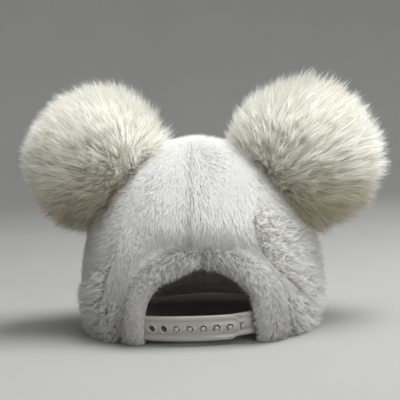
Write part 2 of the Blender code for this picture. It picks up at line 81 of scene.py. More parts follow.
# Folds of the cloth: two ridges beside the open back, and the tuck above it
RIDGE_ANGLE = math.radians(38)
RIDGE_WIDTH = math.radians(13)
RIDGE_HEIGHT = 46.0 * MM
RIDGE_SPAN = 24.0 * MM
LEFT_RIDGE = 2.0 * MM
RIGHT_RIDGE = 3.5 * MM
TUCK_DEPTH = 7.0 * MM
TUCK_HEIGHT = 62.0 * MM
TUCK_SPAN = 18.0 * MM
TUCK_WIDTH = math.radians(30)

# Seams between the six panels: height as a share of the depth, angles in degrees
SEAM_COLUMNS = ("height", "centre_back", "left_side", "right_side", "front", "centre_front")
SEAM_TABLE = (
    (0.00, 0.0, 53.0, 57.0, 122.0, 180.0),
    (0.20, 0.5, 52.0, 54.0, 122.0, 180.0),
    (0.34, 1.2, 46.0, 37.0, 121.0, 180.0),
    (0.46, 2.0, 42.0, 30.0, 120.0, 180.0),
    (0.60, 2.0, 42.0, 28.0, 120.0, 180.0),
    (0.78, 1.5, 46.0, 40.0, 120.0, 180.0),
    (0.92, 0.5, 52.0, 57.0, 120.0, 180.0),
    (1.00, 0.0, 60.0, 60.0, 120.0, 180.0),
)

# Open back and the puffed hem sewn round it
ARCH_HALF_WIDTH = 39.5 * MM
ARCH_HEIGHT = 54.0 * MM
ARCH_FULLNESS = 2.4
ARCH_FOOT_DEPTH = 4.0 * MM
ARCH_ROW_SHARE = 0.6
HEM_WIDTH = 16.0 * MM
HEM_TOP_WIDTH = 11.5 * MM
HEM_WIDENING_SHARE = 0.5
HEM_THICKNESS = 9.5 * MM
HEM_GAP = 0.6 * MM
HEM_LEFT_INSET = 3.0 * MM
HEM_INSET_START = 0.25
HEM_INSET_SPAN = 0.35

# Hem's roll: the room left for its pile, its taper and ends, and its pinch at the notch
HEM_PILE_ROOM = 3.0 * MM
HEM_TAPER = 1.5
HEM_END = 0.955
HEM_GRID = (121, 15)
HEM_STEP = 0.5 * MM
HEM_LIP_TURN = -0.5
HEM_CLOTH = 1.2 * MM
HEM_FLOOR_GAP = 0.2 * MM
NOTCH_PINCH = 0.5
NOTCH_PINCH_WIDTH = 0.04

# Brim
BRIM_HALF_ANGLE = math.radians(72)
BRIM_HALF_WIDTH = 88.0 * MM
BRIM_REACH = 66.0 * MM
BRIM_WIDEST_AHEAD = 18.0 * MM
BRIM_FULLNESS = 2.3
BRIM_ARCH = 9.0 * MM
BRIM_THICKNESS = 5.5 * MM
BRIM_CORNER_SHARE = 0.12
PLUSH_THICKNESS = 7.5 * MM

# Brim's board, and the angle over which the crown's rim steps up beside it
BRIM_SIDE_FADE = 0.03
BRIM_GRID = (81, 17)
BRIM_BOARD = 3.2 * MM
BRIM_BOARD_LIFT = 0.3 * MM
BRIM_EDGE_FULLNESS = 8
BRIM_EDGE_SHARE = 0.05

# Snap strap
STRAP_HEIGHT = 12.4 * MM
STRAP_WIDTH = 18.4 * MM
PEG_STRAP_WIDTH = 17.6 * MM
PEG_STRAP_CLIMB = 0.055
STRAP_THICKNESS = 1.9 * MM
STRAP_GAP = 0.3 * MM
STRAP_SEWN_LENGTH = 13.0 * MM
NOSE_RADIUS = 7.5 * MM
SNAP_COUNT = 7
SNAPS_CLOSED = 5
SNAP_PITCH = 9.5 * MM
FIRST_SNAP = -19.3 * MM
NOSE_PAST_SNAP = 7.5 * MM
HOLE_RADIUS = 2.5 * MM
PEG_RADIUS = 1.65 * MM

# Strap's small forms, and the steps and sides of their meshes
NOSE_SPAN = 1.3 * NOSE_RADIUS
NOSE_STEPS = 14
BAND_STEPS = 60
END_ROUNDING = 1.2 * MM
END_DROP = 0.5 * MM
RELIEF_FADE = 0.8 * MM
PLATE_DEPTH = 0.52 * MM
SNAP_SIDES = 20
PEG_AXIS = 0.01 * MM
PEG_NECK_SHARE = 0.9
PEG_SUNK_FOOT = 0.6 * MM
PEG_STAND_OUT = 0.9 * MM
PEG_DOME = 0.1 * MM
CUTTER_SIDES = 24
CUTTER_AXIS = 0.001 * MM
CUTTER_STAND_OUT = 2.0 * MM

# Strap relief: height share, depth of its face below the rim's face in mm
STRAP_FACE = (
    (0.00, 0.50), (0.02, 0.12), (0.05, 0.0), (0.12, 0.0), (0.15, 0.12), (0.18, 0.95),
    (0.29, 1.00), (0.31, 0.60), (0.50, 0.58), (0.69, 0.60), (0.71, 1.00), (0.82, 0.95),
    (0.85, 0.12), (0.88, 0.0), (0.95, 0.0), (0.98, 0.12), (1.00, 0.50),
)
# A peg's head: share of its radius, depth below its top in mm
PEG_HEAD = ((0.9, 1.2), (1.0, 0.8), (1.0, 0.3), (0.85, 0.0))
# A hole's collar: beyond the hole's edge and below the sunken plate, both in mm
COLLAR = ((0.0, 0.6), (0.1, -0.15), (0.45, -0.3), (0.9, -0.1), (1.0, 0.3), (0.0, 0.6))

# Pompoms: side, height, ball radius, seat's distance and slope
POMPOMS = {
    "left": (77.5 * MM, 132.5 * MM, 59.0 * MM, 37.0 * MM, math.radians(37)),
    "right": (-83.0 * MM, 128.5 * MM, 63.0 * MM, 34.0 * MM, math.radians(43)),
}
POMPOM_AHEAD = 4.0 * MM
POMPOM_GRID = (49, 25)
POLE_GAP = 0.02
# Inner and outer face of a pompom's core: shares of the ball's radius and of the seat's distance
POMPOM_CORE = ((0.68, 0.8), (0.78, 0.95))

# Camera: the photograph's angle, with the lens worked out from its framing
CAMERA_PLACE = (-1.6 * MM, 850.0 * MM, 147.0 * MM)
CAMERA_PITCH = math.radians(3.4)
CAMERA_ROLL = math.radians(2.3)
CAMERA_LENS_MM = 98.2
CAMERA_SENSOR_MM = 36.0

# Stage: a round sweep, a flat floor that bends up into a wall
STAGE_RADIUS = 2.6
STAGE_BEND = 0.9
STAGE_BEND_STEPS = 13
STAGE_WALL = 3.2
STAGE_POLE = 1e-5
STAGE_SIDES = 96
STAGE_THICKNESS = 0.01

# Room and lights: name, place, what it is aimed at and its power in watts
ROOM_COLOUR = "#DCE0E4"
ROOM_STRENGTH = 1.22
LIGHT_SIZE = 0.9
LIGHT_COLOUR = (0.975, 0.99, 1.0)
LIGHTS = (
    ("ceiling", (-0.5, 0.05, 1.45), (0.0, 0.0, 0.1), 34.0),
    ("fill", (-0.8, 1.6, 0.72), (0.0, 0.0, 0.06), 15.5),
)

# Map of the strands' own tones and painted shades
MAP_NAME = "OFBake"
MAP_SLIVER = 0.02

# Chance that depends on place alone: directions and scale of a large sine, and waves in a sum
HASH_KEYS = ((127.1, 311.7, 74.7), (269.5, 183.3, 246.1), (113.5, 271.9, 124.6))
HASH_SCALE = 43758.5453
WAVES_SUMMED = 4

# Every pile: where strands are spread, how they narrow, bend, lock and end above the floor
SPREAD_COLUMNS = 60
SPREAD_ROWS = 120
STRAND_TAPER = 0.45
BEND_LOW = 0.55
BEND_HIGH = 1.25
LOCK_SEEDS = (1.3, 5.0)
LOCK_PULLS = (0.0, 0.45, 1.0)
FLAT_SWAY = 0.35
FLOOR_GAP = 0.3 * MM
FLOOR_GAP_SPREAD = 0.7 * MM
PILE_WIDTHS = (0.7, 1.3)

# Crown's backing and pile: lean at the wall, length share, sway, (lock cell, strength) pairs
PANEL_STYLES = {
    "back": (math.radians(71), 0.95, 0.08, ((9.0 * MM, 0.04), (2.0 * MM, 0.06))),
    "side": (math.radians(50), 0.9, 0.18, ((6.0 * MM, 0.08), (2.0 * MM, 0.3))),
    "front": (math.radians(58), 1.0, 0.2, ((8.0 * MM, 0.10), (2.2 * MM, 0.4))),
}
PANEL_GRID = (33, 61)
SEAM_BACKING_SHARE = 0.45
SEAM_BEVEL = 8.0
TOP_FADE = 0.10
PILE_LENGTHS = (0.75, 1.1)
PILE_FOOT = 0.8
PILE_SHADE_SPREAD = 0.08
COMB_WAVE = 16.0 * MM
COMB_SWAY = 0.22
COMB_TOP_SWAY = 0.9
LEAN_WAVE = 11.0 * MM
LEAN_SWAY = 0.12
LEAN_SPREAD = 0.10
LEAN_TOP_SHARE = 0.45

# Centre back seam, a low ridge of pile with painted shade on its flanks
SEAM_RIDGE_HEIGHT = 2.2 * MM
SEAM_RIDGE_WIDTH = 3.6 * MM
SEAM_RIDGE_FADE = 0.12
SEAM_RIDGE_LEAN = 0.12
SEAM_FLANK_SHADE = 0.24

# Crease outside the hem, where the pile is short, sunken and painted darker, as shade
DIP_WIDTH = 9.0 * MM
DIP_SINK = 0.6
DIP_SHORTER = 0.3
DIP_SHADE = 0.36

# Grain: pile in small locks that stand towards the back. On a side panel it reaches up to a
# top, 1 for the left and -1 for the right, that falls with each radian beyond GRAIN_START.
# On a back panel it is weaker, and lies at the foot alone. Its dark locks are short. The grain is
# painted a little darker, and its short locks much darker, as the shade between the locks.
GRAIN_TOP = {1: 70.0 * MM, -1: 102.0 * MM}
GRAIN_TOP_FADE = 14.0 * MM
GRAIN_START = math.radians(30)
GRAIN_FALL = 30.0 * MM
GRAIN_END = math.radians(112)
GRAIN_END_FADE = math.radians(30)
BACK_GRAIN = 0.8
BACK_GRAIN_TOP = 42.0 * MM
BACK_GRAIN_FADE = 20.0 * MM
GRAIN_CELL = 1.9 * MM
GRAIN_COMB_LOST = 0.5
GRAIN_BACKWARDS = 0.7
GRAIN_SCATTER = 2.6
GRAIN_LEAN = math.radians(30)
GRAIN_DRAWN = 0.95
GRAIN_LENGTH_SWING = 0.9
GRAIN_LENGTH_MIDDLE = 0.45
GRAIN_SHADED_START = 0.62
GRAIN_SHADED_SPAN = 0.2
GRAIN_SHADE = 0.05
GRAIN_LOCK_SHADE = {1: 0.45, -1: 0.9}

# Hem's fur: parted at the notch and swept to both feet, with lengths that change round it, and painted
# shade on its top, under the overhanging panel
HEM_SWEEP = 0.8
HEM_WAVE = 9.0 * MM
HEM_WAVE_SWAY = 0.4
HEM_SWAY = 0.3
HEM_LOCKS = ((7.0 * MM, 0.2), (3.2 * MM, 0.75))
HEM_LEAN = math.radians(30)
HEM_LEAN_SWELL = 0.5
HEM_LEAN_SPREAD = 0.2
HEM_LENGTHS = (0.65, 1.0)
HEM_EDGE_LENGTH = 0.42
HEM_EDGE_TURN = 1.3
NOTCH_SHORTER = 0.5
NOTCH_WIDTH = 0.035
NOTCH_TUFT_LONGER = 0.35
NOTCH_TUFT_PLACE = 0.18
NOTCH_TUFT_WIDTH = 0.1
HEM_LEFT_SHORTER = 0.55
HEM_LEFT_START = 0.3
HEM_LEFT_SPAN = 0.25
HEM_TOP_BRIGHTNESS = 0.56
HEM_FOOT_BRIGHTENING = 0.34
HEM_BRIGHTENING_SHARE = 0.7

# Brim's pile, and the shares of the brim over which its slope is taken
BRIM_STEP = 0.02
BRIM_SIDE_STEP = 0.01
BRIM_PILE_FOOT = 3.0 * MM
BRIM_WAVE = 18.0 * MM
BRIM_WAVE_SWAY = 0.25
BRIM_SWAY = 0.25
BRIM_LOCKS = ((2.4 * MM, 0.4),)
BRIM_LEAN = math.radians(64)
BRIM_LEAN_SPREAD = 0.15
BRIM_LENGTHS = (0.7, 1.1)
BRIM_WIDTHS = (0.8, 1.4)
SHORT_PILE_SHADE_SPREAD = 0.25

# Pompom fur: where it starts and ends as shares of the ball's radius, its locks, bends, own tones and
# painted shades
FUR_FOOT = 0.66
FUR_REACH = 1.11
FUR_REACH_SPREAD = 0.10
FUR_REACH_POWER = 1.5
FUR_FINE_LOSS = 0.11
FUR_WIDE_LOSS = 0.05
FUR_WIDE_CELL = 11.0 * MM
FUR_WIDE_PULL = 0.04
FUR_FINE_CELL = 2.0 * MM
FUR_FINE_PULL = 0.27
FUR_COMB = math.radians(16)
FUR_WAVE = 16.0 * MM
FUR_SWIRL = 2.2 * MM
FUR_CURL = 5.0 * MM
FUR_CURL_AT_SEAT = 0.6
FUR_FUZZ = 1.2 * MM
FUR_SAG = 1.5 * MM
FUR_PAST_SEAT = 9.0 * MM
FUR_PRESSED_PAST_SEAT = 8.0 * MM
FUR_SEAT_START = 16.0 * MM
FUR_SEAT_FADE = 14.0 * MM
FUR_CROWN_SHARE = 0.7
FUR_CROWN_SPREAD = 2.5 * MM
FUR_WIDTHS = (0.6, 1.3)
FUR_UNDER_SHADE = 0.5
FUR_UNDER_START = 0.05
FUR_UNDER_SPAN = 0.9
FUR_SHADE_SPREAD = 0.15
FUR_TUFT_SHADE = 0.15
# Stops of a fur strand: share of its length, and how far it is bent there
FUR_STOPS = ((0.0, 0.0), (0.4, 0.25), (0.75, 0.7), (1.0, 1.0))

# Sizes of the finishes' patterns: yarns' threads, waviness of moulded plastic, paper's mottle
BACKING_THREAD = 0.9 * MM
CORE_THREAD = 1.2 * MM
PLASTIC_WAVE = 2.5 * MM
PLASTIC_WAVE_HEIGHT = 0.2 * MM
PLASTIC_SCATTER = 2.0 * MM
PAPER_MOTTLE = 1.0 / 3.0

rng = np.random.default_rng(11)


def hex_colour(code):
    """A linear colour from sRGB hex digits, by the sRGB curve."""
    parts = [int(code[i : i + 2], 16) / 255.0 for i in (1, 3, 5)]
    linear = [p / 12.92 if p <= 0.04045 else ((p + 0.055) / 1.055) ** 2.4 for p in parts]
    return (*linear, 1.0)


def length_property(name, description, default, low, high):
    """A length with its limits, all given in millimetres."""
    return bpy.props.FloatProperty(
        name=name, description=description, default=default * MM, min=low * MM, max=high * MM,
        unit="LENGTH",
    )


def count_property(name, description, default):
    return bpy.props.IntProperty(name=name, description=description, default=default, min=1)


def colour_property(name, description, code):
    return bpy.props.FloatVectorProperty(
        name=name, description=description, default=hex_colour(code), size=4,
        min=0.0, max=1.0, subtype="COLOR",
    )


class CapSizes(bpy.types.PropertyGroup):
    """Lengths of the cloth and its pile."""

    backing: length_property("Backing", "Depth of the knitted backing and dense foot", 3.2, 0.5, 6.0)
    pile: length_property("Pile", "Length of the crown's pile strands", 8.5, 2.0, 20.0)
    hem_pile: length_property("Hem pile", "Length of the strands round the open back", 9.0, 2.0, 20.0)
    brim_pile: length_property("Brim pile", "Length of the brim's strands", 5.0, 1.0, 12.0)
    strand_width: length_property("Strand width", "Width of several hairs of pile", 0.55, 0.1, 2.0)
    fur_width: length_property("Fur width", "Width of several hairs of a pompom", 0.68, 0.1, 2.0)


class CapStrands(bpy.types.PropertyGroup):
    """How many strands each piece carries."""

    back: count_property("Back panel", "Strands on a back panel", 26000)
    side: count_property("Side panel", "Strands on a side panel", 34000)
    front: count_property("Front panel", "Strands on a front panel", 15000)
    hem: count_property("Hem", "Strands on the hem", 13000)
    brim: count_property("Brim", "Strands on the brim", 22000)
    pompom: count_property("Pompom", "Strands on a pompom", 35000)


class CapColours(bpy.types.PropertyGroup):
    """Colours of the cap's finishes."""

    # Roots are painted darker than tips, as the shade deep in the pile. The shade colours are what the
    # darkest strands are multiplied by: painted shade, and each strand's own tone.
    plush_tip: colour_property("Plush tip", "Pile at its tips", "#FBFBFA")
    plush_root: colour_property("Plush root", "Pile at its foot", "#E9E7E3")
    plush_shade_and_tone: colour_property("Plush shade", "What the darkest pile takes from the light", "#AEAEAC")
    fur_tip: colour_property("Fur tip", "Pompom fur at its tips", "#FCFCFA")
    fur_root: colour_property("Fur root", "Pompom fur at its foot", "#ECEBE2")
    fur_shade_and_tone: colour_property("Fur shade", "What the darkest fur takes from the light", "#CCC09C")
    backing: colour_property("Backing", "Knitted backing inside the cap", "#F0EEE9")
    strap: colour_property("Strap", "Milky plastic of the snap strap", "#D8D5CE")
    floor: colour_property("Floor", "Floor and backdrop", "#979693")


def smooth_step(value):
    """From 0 to 1 with level ends, as 3 t squared less 2 t cubed."""
    share = np.clip(value, 0.0, 1.0)
    return share * share * (3.0 - 2.0 * share)


def bell(value):
    """1 at zero, falling as the exponential of minus the square."""
    return np.exp(-(value**2))


def unit(vectors):
    """Vectors divided by their lengths."""
    return vectors / np.maximum(np.linalg.norm(vectors, axis=-1, keepdims=True), TINY * TINY)


def flattened(vectors, outwards):
    """What is left of vectors along a surface, without their part outwards."""
    return vectors - (vectors * outwards).sum(axis=-1, keepdims=True) * outwards


def even_grid(columns, rows):
    """(across, up), both from 0 to 1, at each point of a grid."""
    return np.meshgrid(np.linspace(0, 1, columns), np.linspace(0, 1, rows))


def power_of(value, fullness):
    """A sine or cosine reshaped: its sign times its size to the power 2 / fullness."""
    return np.sign(value) * np.abs(value) ** (2.0 / fullness)


def belly_rise():
    """Height of the widest level over the wall's whole length."""
    dome_radii = (RIM_HALF_WIDTH + BELLY_SWELL, CROWN_DEPTH - BELLY_HEIGHT)
    dome_length = math.pi / 2 * math.sqrt(sum(r * r for r in dome_radii) / 2)
    return BELLY_HEIGHT / (BELLY_HEIGHT + dome_length)


BELLY_RISE = belly_rise()
EYE_SHARE = TOP_EYE_RADIUS / (RIM_HALF_WIDTH + BELLY_SWELL)
EYE_TURN = math.acos(EYE_SHARE ** (BACK_FULLNESS / 2.0))
TOP_RISE = BELLY_RISE + (1.0 - BELLY_RISE) * EYE_TURN / (math.pi / 2)


def meridian(rise, fullness):
    """(radius as a share of the belly's, how far below the belly from 0 to 1, height)."""
    low = np.minimum(rise / BELLY_RISE, 1.0)
    turn = np.clip((rise - BELLY_RISE) / (1.0 - BELLY_RISE), 0.0, 1.0) * math.pi / 2
    radius = power_of(np.maximum(np.cos(turn), 0.0), fullness)
    height = BELLY_HEIGHT * low + (CROWN_DEPTH - BELLY_HEIGHT) * power_of(np.sin(turn), fullness)
    return radius, 1.0 - low, height


def wall_reach(half_size, radius, below):
    """From the middle to the wall: a share of the belly's reach, less the swell as the square
    of how far below the belly it is."""
    return (half_size + BELLY_SWELL) * radius - BELLY_SWELL * below**2


def fold_depth(angle, height):
    """Ridges as a bell in angle times a bell in height, less the tuck made the same way."""
    wrapped = (angle + math.pi) % FULL_TURN - math.pi
    ridge = np.where(wrapped > 0, LEFT_RIDGE, RIGHT_RIDGE)
    ridge = ridge * bell((np.abs(wrapped) - RIDGE_ANGLE) / RIDGE_WIDTH)
    ridge = ridge * bell((height - RIDGE_HEIGHT) / RIDGE_SPAN)
    tuck = TUCK_DEPTH * bell(wrapped / TUCK_WIDTH) * bell((height - TUCK_HEIGHT) / TUCK_SPAN)
    return ridge - tuck


def crown_skin(angle, rise):
    """The cloth's inner face: a superellipse in plan, whose radius and height follow a
    straight swelling wall up to the belly and a superellipse quarter from there up."""
    angle, rise = np.broadcast_arrays(np.asarray(angle, float), np.asarray(rise, float))
    front = (1.0 - np.cos(angle)) / 2.0
    fullness = BACK_FULLNESS + (FRONT_FULLNESS - BACK_FULLNESS) * front
    radius, below, height = meridian(rise, fullness)
    out = fold_depth(angle, height)
    wide = wall_reach(RIM_HALF_WIDTH, radius, below)
    long = wall_reach(RIM_HALF_LENGTH, radius, below)
    x = wide * power_of(np.sin(angle), PLAN_FULLNESS) + out * np.sin(angle)
    y = long * power_of(np.cos(angle), PLAN_FULLNESS) + out * np.cos(angle)
    return np.stack([x, y - CROWN_LEAN * (height / CROWN_DEPTH) ** 2, height], axis=-1)


def crown_axes(angle, rise):
    """Unit vectors out of the cloth, down the wall and round it, from small differences."""
    step = SLOPE_STEP
    rise = np.minimum(rise, TOP_RISE)
    round_it = crown_skin(angle + step, rise) - crown_skin(angle - step, rise)
    up_it = crown_skin(angle, rise + step) - crown_skin(angle, rise - step)
    return unit(np.cross(up_it, round_it)), -unit(up_it), unit(round_it)


def rise_at(height):
    """The rise at a height on the back of the wall, read backwards from its meridian."""
    rises = np.linspace(LOWEST_RISE, 1.0, RISE_SAMPLES)
    return np.interp(height, meridian(rises, BACK_FULLNESS)[2], rises)


def on_wall(x, height):
    """(angle, rise) of the wall's point that lies at x and height, seen from behind."""
    rise = rise_at(height)
    radius, below, _ = meridian(rise, BACK_FULLNESS)
    share = np.clip(x / wall_reach(RIM_HALF_WIDTH, radius, below), -1.0, 1.0)
    return np.arcsin(np.sign(share) * np.abs(share) ** (PLAN_FULLNESS / 2.0)), rise


def seam_angle(seam, rise, side):
    """A seam's angle at a rise, from straight lines between the rows of its table."""
    rows = np.array(SEAM_TABLE)
    height = meridian(np.asarray(rise, float), BACK_FULLNESS)[2]
    column = SEAM_COLUMNS.index(seam)
    angle = np.radians(np.interp(height / CROWN_DEPTH, rows[:, 0], rows[:, column]))
    return angle if seam == "centre_back" else side * angle


def arch_point(grow, share):
    """(x, height) out from the arch by grow, from -1 at its right foot to 1 at its left.

    Half the arch is a superellipse quarter that runs on straight down to the floor."""
    turn = np.linspace(0.0, math.pi / 2, ARCH_SAMPLES)
    x = ARCH_HALF_WIDTH * power_of(np.sin(turn), ARCH_FULLNESS)
    z = ARCH_HEIGHT * power_of(np.cos(turn), ARCH_FULLNESS)
    x, z = np.append(x, x[-1]), np.append(z, -ARCH_FOOT_DEPTH)
    steps = np.hypot(np.diff(x), np.diff(z))
    length = np.concatenate([[0.0], np.cumsum(steps)])
    at = np.abs(share) * length[-1]
    middles = (length[1:] + length[:-1]) / 2
    out_x = np.interp(at, middles, -np.diff(z) / steps)
    out_z = np.interp(at, middles, np.diff(x) / steps)
    size = np.hypot(out_x, out_z)
    arch_x = np.interp(at, length, x) + grow * out_x / size
    return np.sign(share) * arch_x, np.interp(at, length, z) + grow * out_z / size


def brim_level(x):
    """Height of the brim's under face: a parabola arched from side to side."""
    return BRIM_ARCH * (1.0 - (x / BRIM_HALF_WIDTH) ** 2)


def rim_rise(angle):
    """The rise where the cloth ends: on the floor, or above the brim where there is one."""
    from_front = np.abs((angle + FULL_TURN) % FULL_TURN - math.pi)
    over = smooth_step((BRIM_HALF_ANGLE + BRIM_SIDE_FADE - from_front) / BRIM_SIDE_FADE)
    x = RIM_HALF_WIDTH * np.sin(angle)
    return rise_at(over * (brim_level(x) + BRIM_THICKNESS))


def panel_domain(near_seam, far_seam, side):
    """The function that takes (across, up) to a panel's (angle, rise), seam to seam."""

    def domain(across, up):
        rise = TOP_RISE * up
        near = seam_angle(near_seam, rise, side)
        far = seam_angle(far_seam, rise, side)
        angle = near + (far - near) * across
        low = rim_rise(angle)
        return angle, low + (TOP_RISE - low) * up

    return domain


def hem_width(share):
    """The hem's width round the arch: narrow over the opening and wide at its feet."""
    widening = smooth_step(np.abs(share) / HEM_WIDENING_SHARE)
    return HEM_TOP_WIDTH + (HEM_WIDTH - HEM_TOP_WIDTH) * widening


def back_domain(side, seam):
    """A back panel's (angle, rise): ruled from the open back and centre seam to its side seam."""

    def domain(across, up):
        apex = rise_at(ARCH_HEIGHT + HEM_TOP_WIDTH + HEM_GAP)
        apex_angle = seam_angle("centre_back", apex, side)
        apex_share = apex_angle * RIM_HALF_WIDTH / (ARCH_HEIGHT + ARCH_HALF_WIDTH)
        down = np.clip(1.0 - up / ARCH_ROW_SHARE, 0.0, 1.0)
        share = apex_share + (side - apex_share) * down
        x, height = arch_point(hem_width(share) + HEM_GAP, share)
        arch_angle, arch_rise = on_wall(x, np.maximum(height, 0.0))
        above = np.clip((up - ARCH_ROW_SHARE) / (1.0 - ARCH_ROW_SHARE), 0.0, 1.0)
        seam_rise = apex + (TOP_RISE - apex) * above
        centre = seam_angle("centre_back", seam_rise, side)
        on_arch = up < ARCH_ROW_SHARE - TINY
        inner_angle = np.where(on_arch, arch_angle, centre)
        inner_rise = np.where(on_arch, arch_rise, seam_rise)
        outer_rise = TOP_RISE * up
        outer_angle = seam_angle(seam, outer_rise, side)
        angle = inner_angle + (outer_angle - inner_angle) * across
        return angle, inner_rise + (outer_rise - inner_rise) * across

    return domain


def hem_axes(share, turn):
    """The hem's roll: (point, out of the roll, out of the wall, out from the opening).

    Its section is half an ellipse, from the opening's edge at turn 0 to the crease at pi."""
    wide = hem_width(share)
    inset = HEM_LEFT_INSET * smooth_step((share - HEM_INSET_START) / HEM_INSET_SPAN)
    across = inset + (wide - inset) / 2.0 * (1.0 - np.cos(turn))
    here = on_wall(*arch_point(across, share))
    beyond = on_wall(*arch_point(across + HEM_STEP, share))
    wall_out, _, _ = crown_axes(*here)
    outwards = unit(crown_skin(*beyond) - crown_skin(*here))
    # Room is left for the pile, and the roll is lower at the notch and where it is narrow
    pinch = 1.0 - NOTCH_PINCH * bell(share / NOTCH_PINCH_WIDTH)
    tall = (HEM_THICKNESS - HEM_PILE_ROOM) * np.sin(turn) * pinch * (wide / HEM_WIDTH) ** HEM_TAPER
    point = crown_skin(*here) + wall_out * tall[..., None]
    roll_out = -np.cos(turn)[..., None] * outwards + np.sin(turn)[..., None] * wall_out
    return point, unit(roll_out), wall_out, outwards


def brim_plan(across, up):
    """The brim in plan: ruled from the crown's wall to a superellipse edge."""
    turn = (2.0 * across - 1.0) * BRIM_HALF_ANGLE
    inner = crown_skin(math.pi - turn, rise_at(BRIM_ARCH))[..., :2]
    corner = crown_skin(math.pi - BRIM_HALF_ANGLE, 0.0)
    widest_y = corner[1] - BRIM_WIDEST_AHEAD
    front_y = -(RIM_HALF_LENGTH + PLUSH_THICKNESS + BRIM_REACH)
    reached = np.abs(2.0 * across - 1.0)
    side = np.sign(2.0 * across - 1.0)
    sweep = np.minimum(reached / (1.0 - BRIM_CORNER_SHARE), 1.0) * math.pi / 2
    x = BRIM_HALF_WIDTH * power_of(np.sin(sweep), BRIM_FULLNESS)
    y = widest_y + (front_y - widest_y) * power_of(np.cos(sweep), BRIM_FULLNESS)
    back = np.clip(1.0 - (1.0 - reached) / BRIM_CORNER_SHARE, 0.0, 1.0)
    x = x + (np.abs(inner[..., 0]) + PLUSH_THICKNESS - x) * back**2
    y = y + (inner[..., 1] - y) * back
    outer = np.stack([side * x, y], axis=-1)
    return inner + (outer - inner) * up[..., None]


def hashed(index, seed):
    """Three numbers from 0 to 1 for each row of index: the fraction of a large sine."""
    return np.abs(np.sin(index @ np.array(HASH_KEYS) + seed) * HASH_SCALE) % 1.0


def clump_centres(points, cell, seed):
    """The nearest lock to each point, where each cube cell of a lattice holds one lock."""
    base = np.floor(points / cell)
    best = np.full(len(points), np.inf)
    nearest = np.zeros_like(points)
    for offset in itertools.product((-1, 0, 1), repeat=3):
        index = base + offset
        centre = (index + hashed(index, seed)) * cell
        distance = ((centre - points) ** 2).sum(axis=1)
        closer = distance < best
        best = np.where(closer, distance, best)
        nearest[closer] = centre[closer]
    return nearest


def wave_field(points, size, seed):
    """A smooth vector field: sines of the place along random directions, for each axis,
    summed and divided by the root of their number."""
    source = np.random.default_rng(seed)
    total = np.zeros_like(points)
    for _ in range(WAVES_SUMMED):
        way = source.normal(size=(3, 3)) / size
        total += np.sin(points @ way + source.uniform(0, FULL_TURN, 3))
    return total / math.sqrt(WAVES_SUMMED)


def add_object(name, points, loops, sizes, uvs=None):
    """A mesh object from arrays: the points, each face's corners in a row, and their counts."""
    mesh = bpy.data.meshes.new(name)
    mesh.vertices.add(len(points))
    mesh.vertices.foreach_set("co", np.ascontiguousarray(points, np.float32).ravel())
    mesh.loops.add(len(loops))
    mesh.loops.foreach_set("vertex_index", np.ascontiguousarray(loops, np.int32))
    mesh.polygons.add(len(sizes))
    starts = np.concatenate([[0], np.cumsum(sizes)[:-1]])
    mesh.polygons.foreach_set("loop_start", starts.astype(np.int32))
    mesh.update(calc_edges=True)
    mesh.validate()
    if uvs is not None:
        layer = mesh.uv_layers.new(name=MAP_NAME)
        layer.data.foreach_set("uv", np.ascontiguousarray(uvs[loops], np.float32).ravel())
    mesh.shade_smooth()
    obj = bpy.data.objects.new(name, mesh)
    bpy.context.scene.collection.objects.link(obj)
    return obj


def dress(context, obj, finish, node):
    """Gives a piece its material and its place on the frame, and hides the imported solid of the node it
    stands for.
    """
    obj.data.materials.append(material_of(context, finish))
    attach(obj, "root")
    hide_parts(node)


def shell_object(name, inner, outer):
    """A closed wall between two grids of points of the same size, with faces pointing out."""
    rows, columns = inner.shape[:2]
    index = np.arange(rows * columns).reshape(rows, columns)
    far = index + rows * columns

    def quads(a, b, c, d):
        return np.stack([a, b, c, d], axis=-1).reshape(-1, 4)

    faces = [
        quads(index[:-1, :-1], index[1:, :-1], index[1:, 1:], index[:-1, 1:]),
        quads(far[:-1, :-1], far[:-1, 1:], far[1:, 1:], far[1:, :-1]),
        quads(index[0, :-1], index[0, 1:], far[0, 1:], far[0, :-1]),
        quads(index[-1, 1:], index[-1, :-1], far[-1, :-1], far[-1, 1:]),
        quads(index[1:, 0], index[:-1, 0], far[:-1, 0], far[1:, 0]),
        quads(index[:-1, -1], index[1:, -1], far[1:, -1], far[:-1, -1]),
    ]
    faces = np.concatenate(faces)
    points = np.concatenate([inner.reshape(-1, 3), outer.reshape(-1, 3)])
    corners = points[faces]
    volume = np.einsum("ij,ij->i", corners[:, 0], np.cross(corners[:, 1], corners[:, 2])).sum()
    volume += np.einsum("ij,ij->i", corners[:, 0], np.cross(corners[:, 2], corners[:, 3])).sum()
    if volume < 0:
        faces = faces[:, ::-1]
    across, up = even_grid(columns, rows)
    uv = np.stack([across, up], axis=-1).reshape(-1, 2)
    return add_object(name, points, faces.ravel(), np.full(len(faces), 4), np.concatenate([uv, uv]))


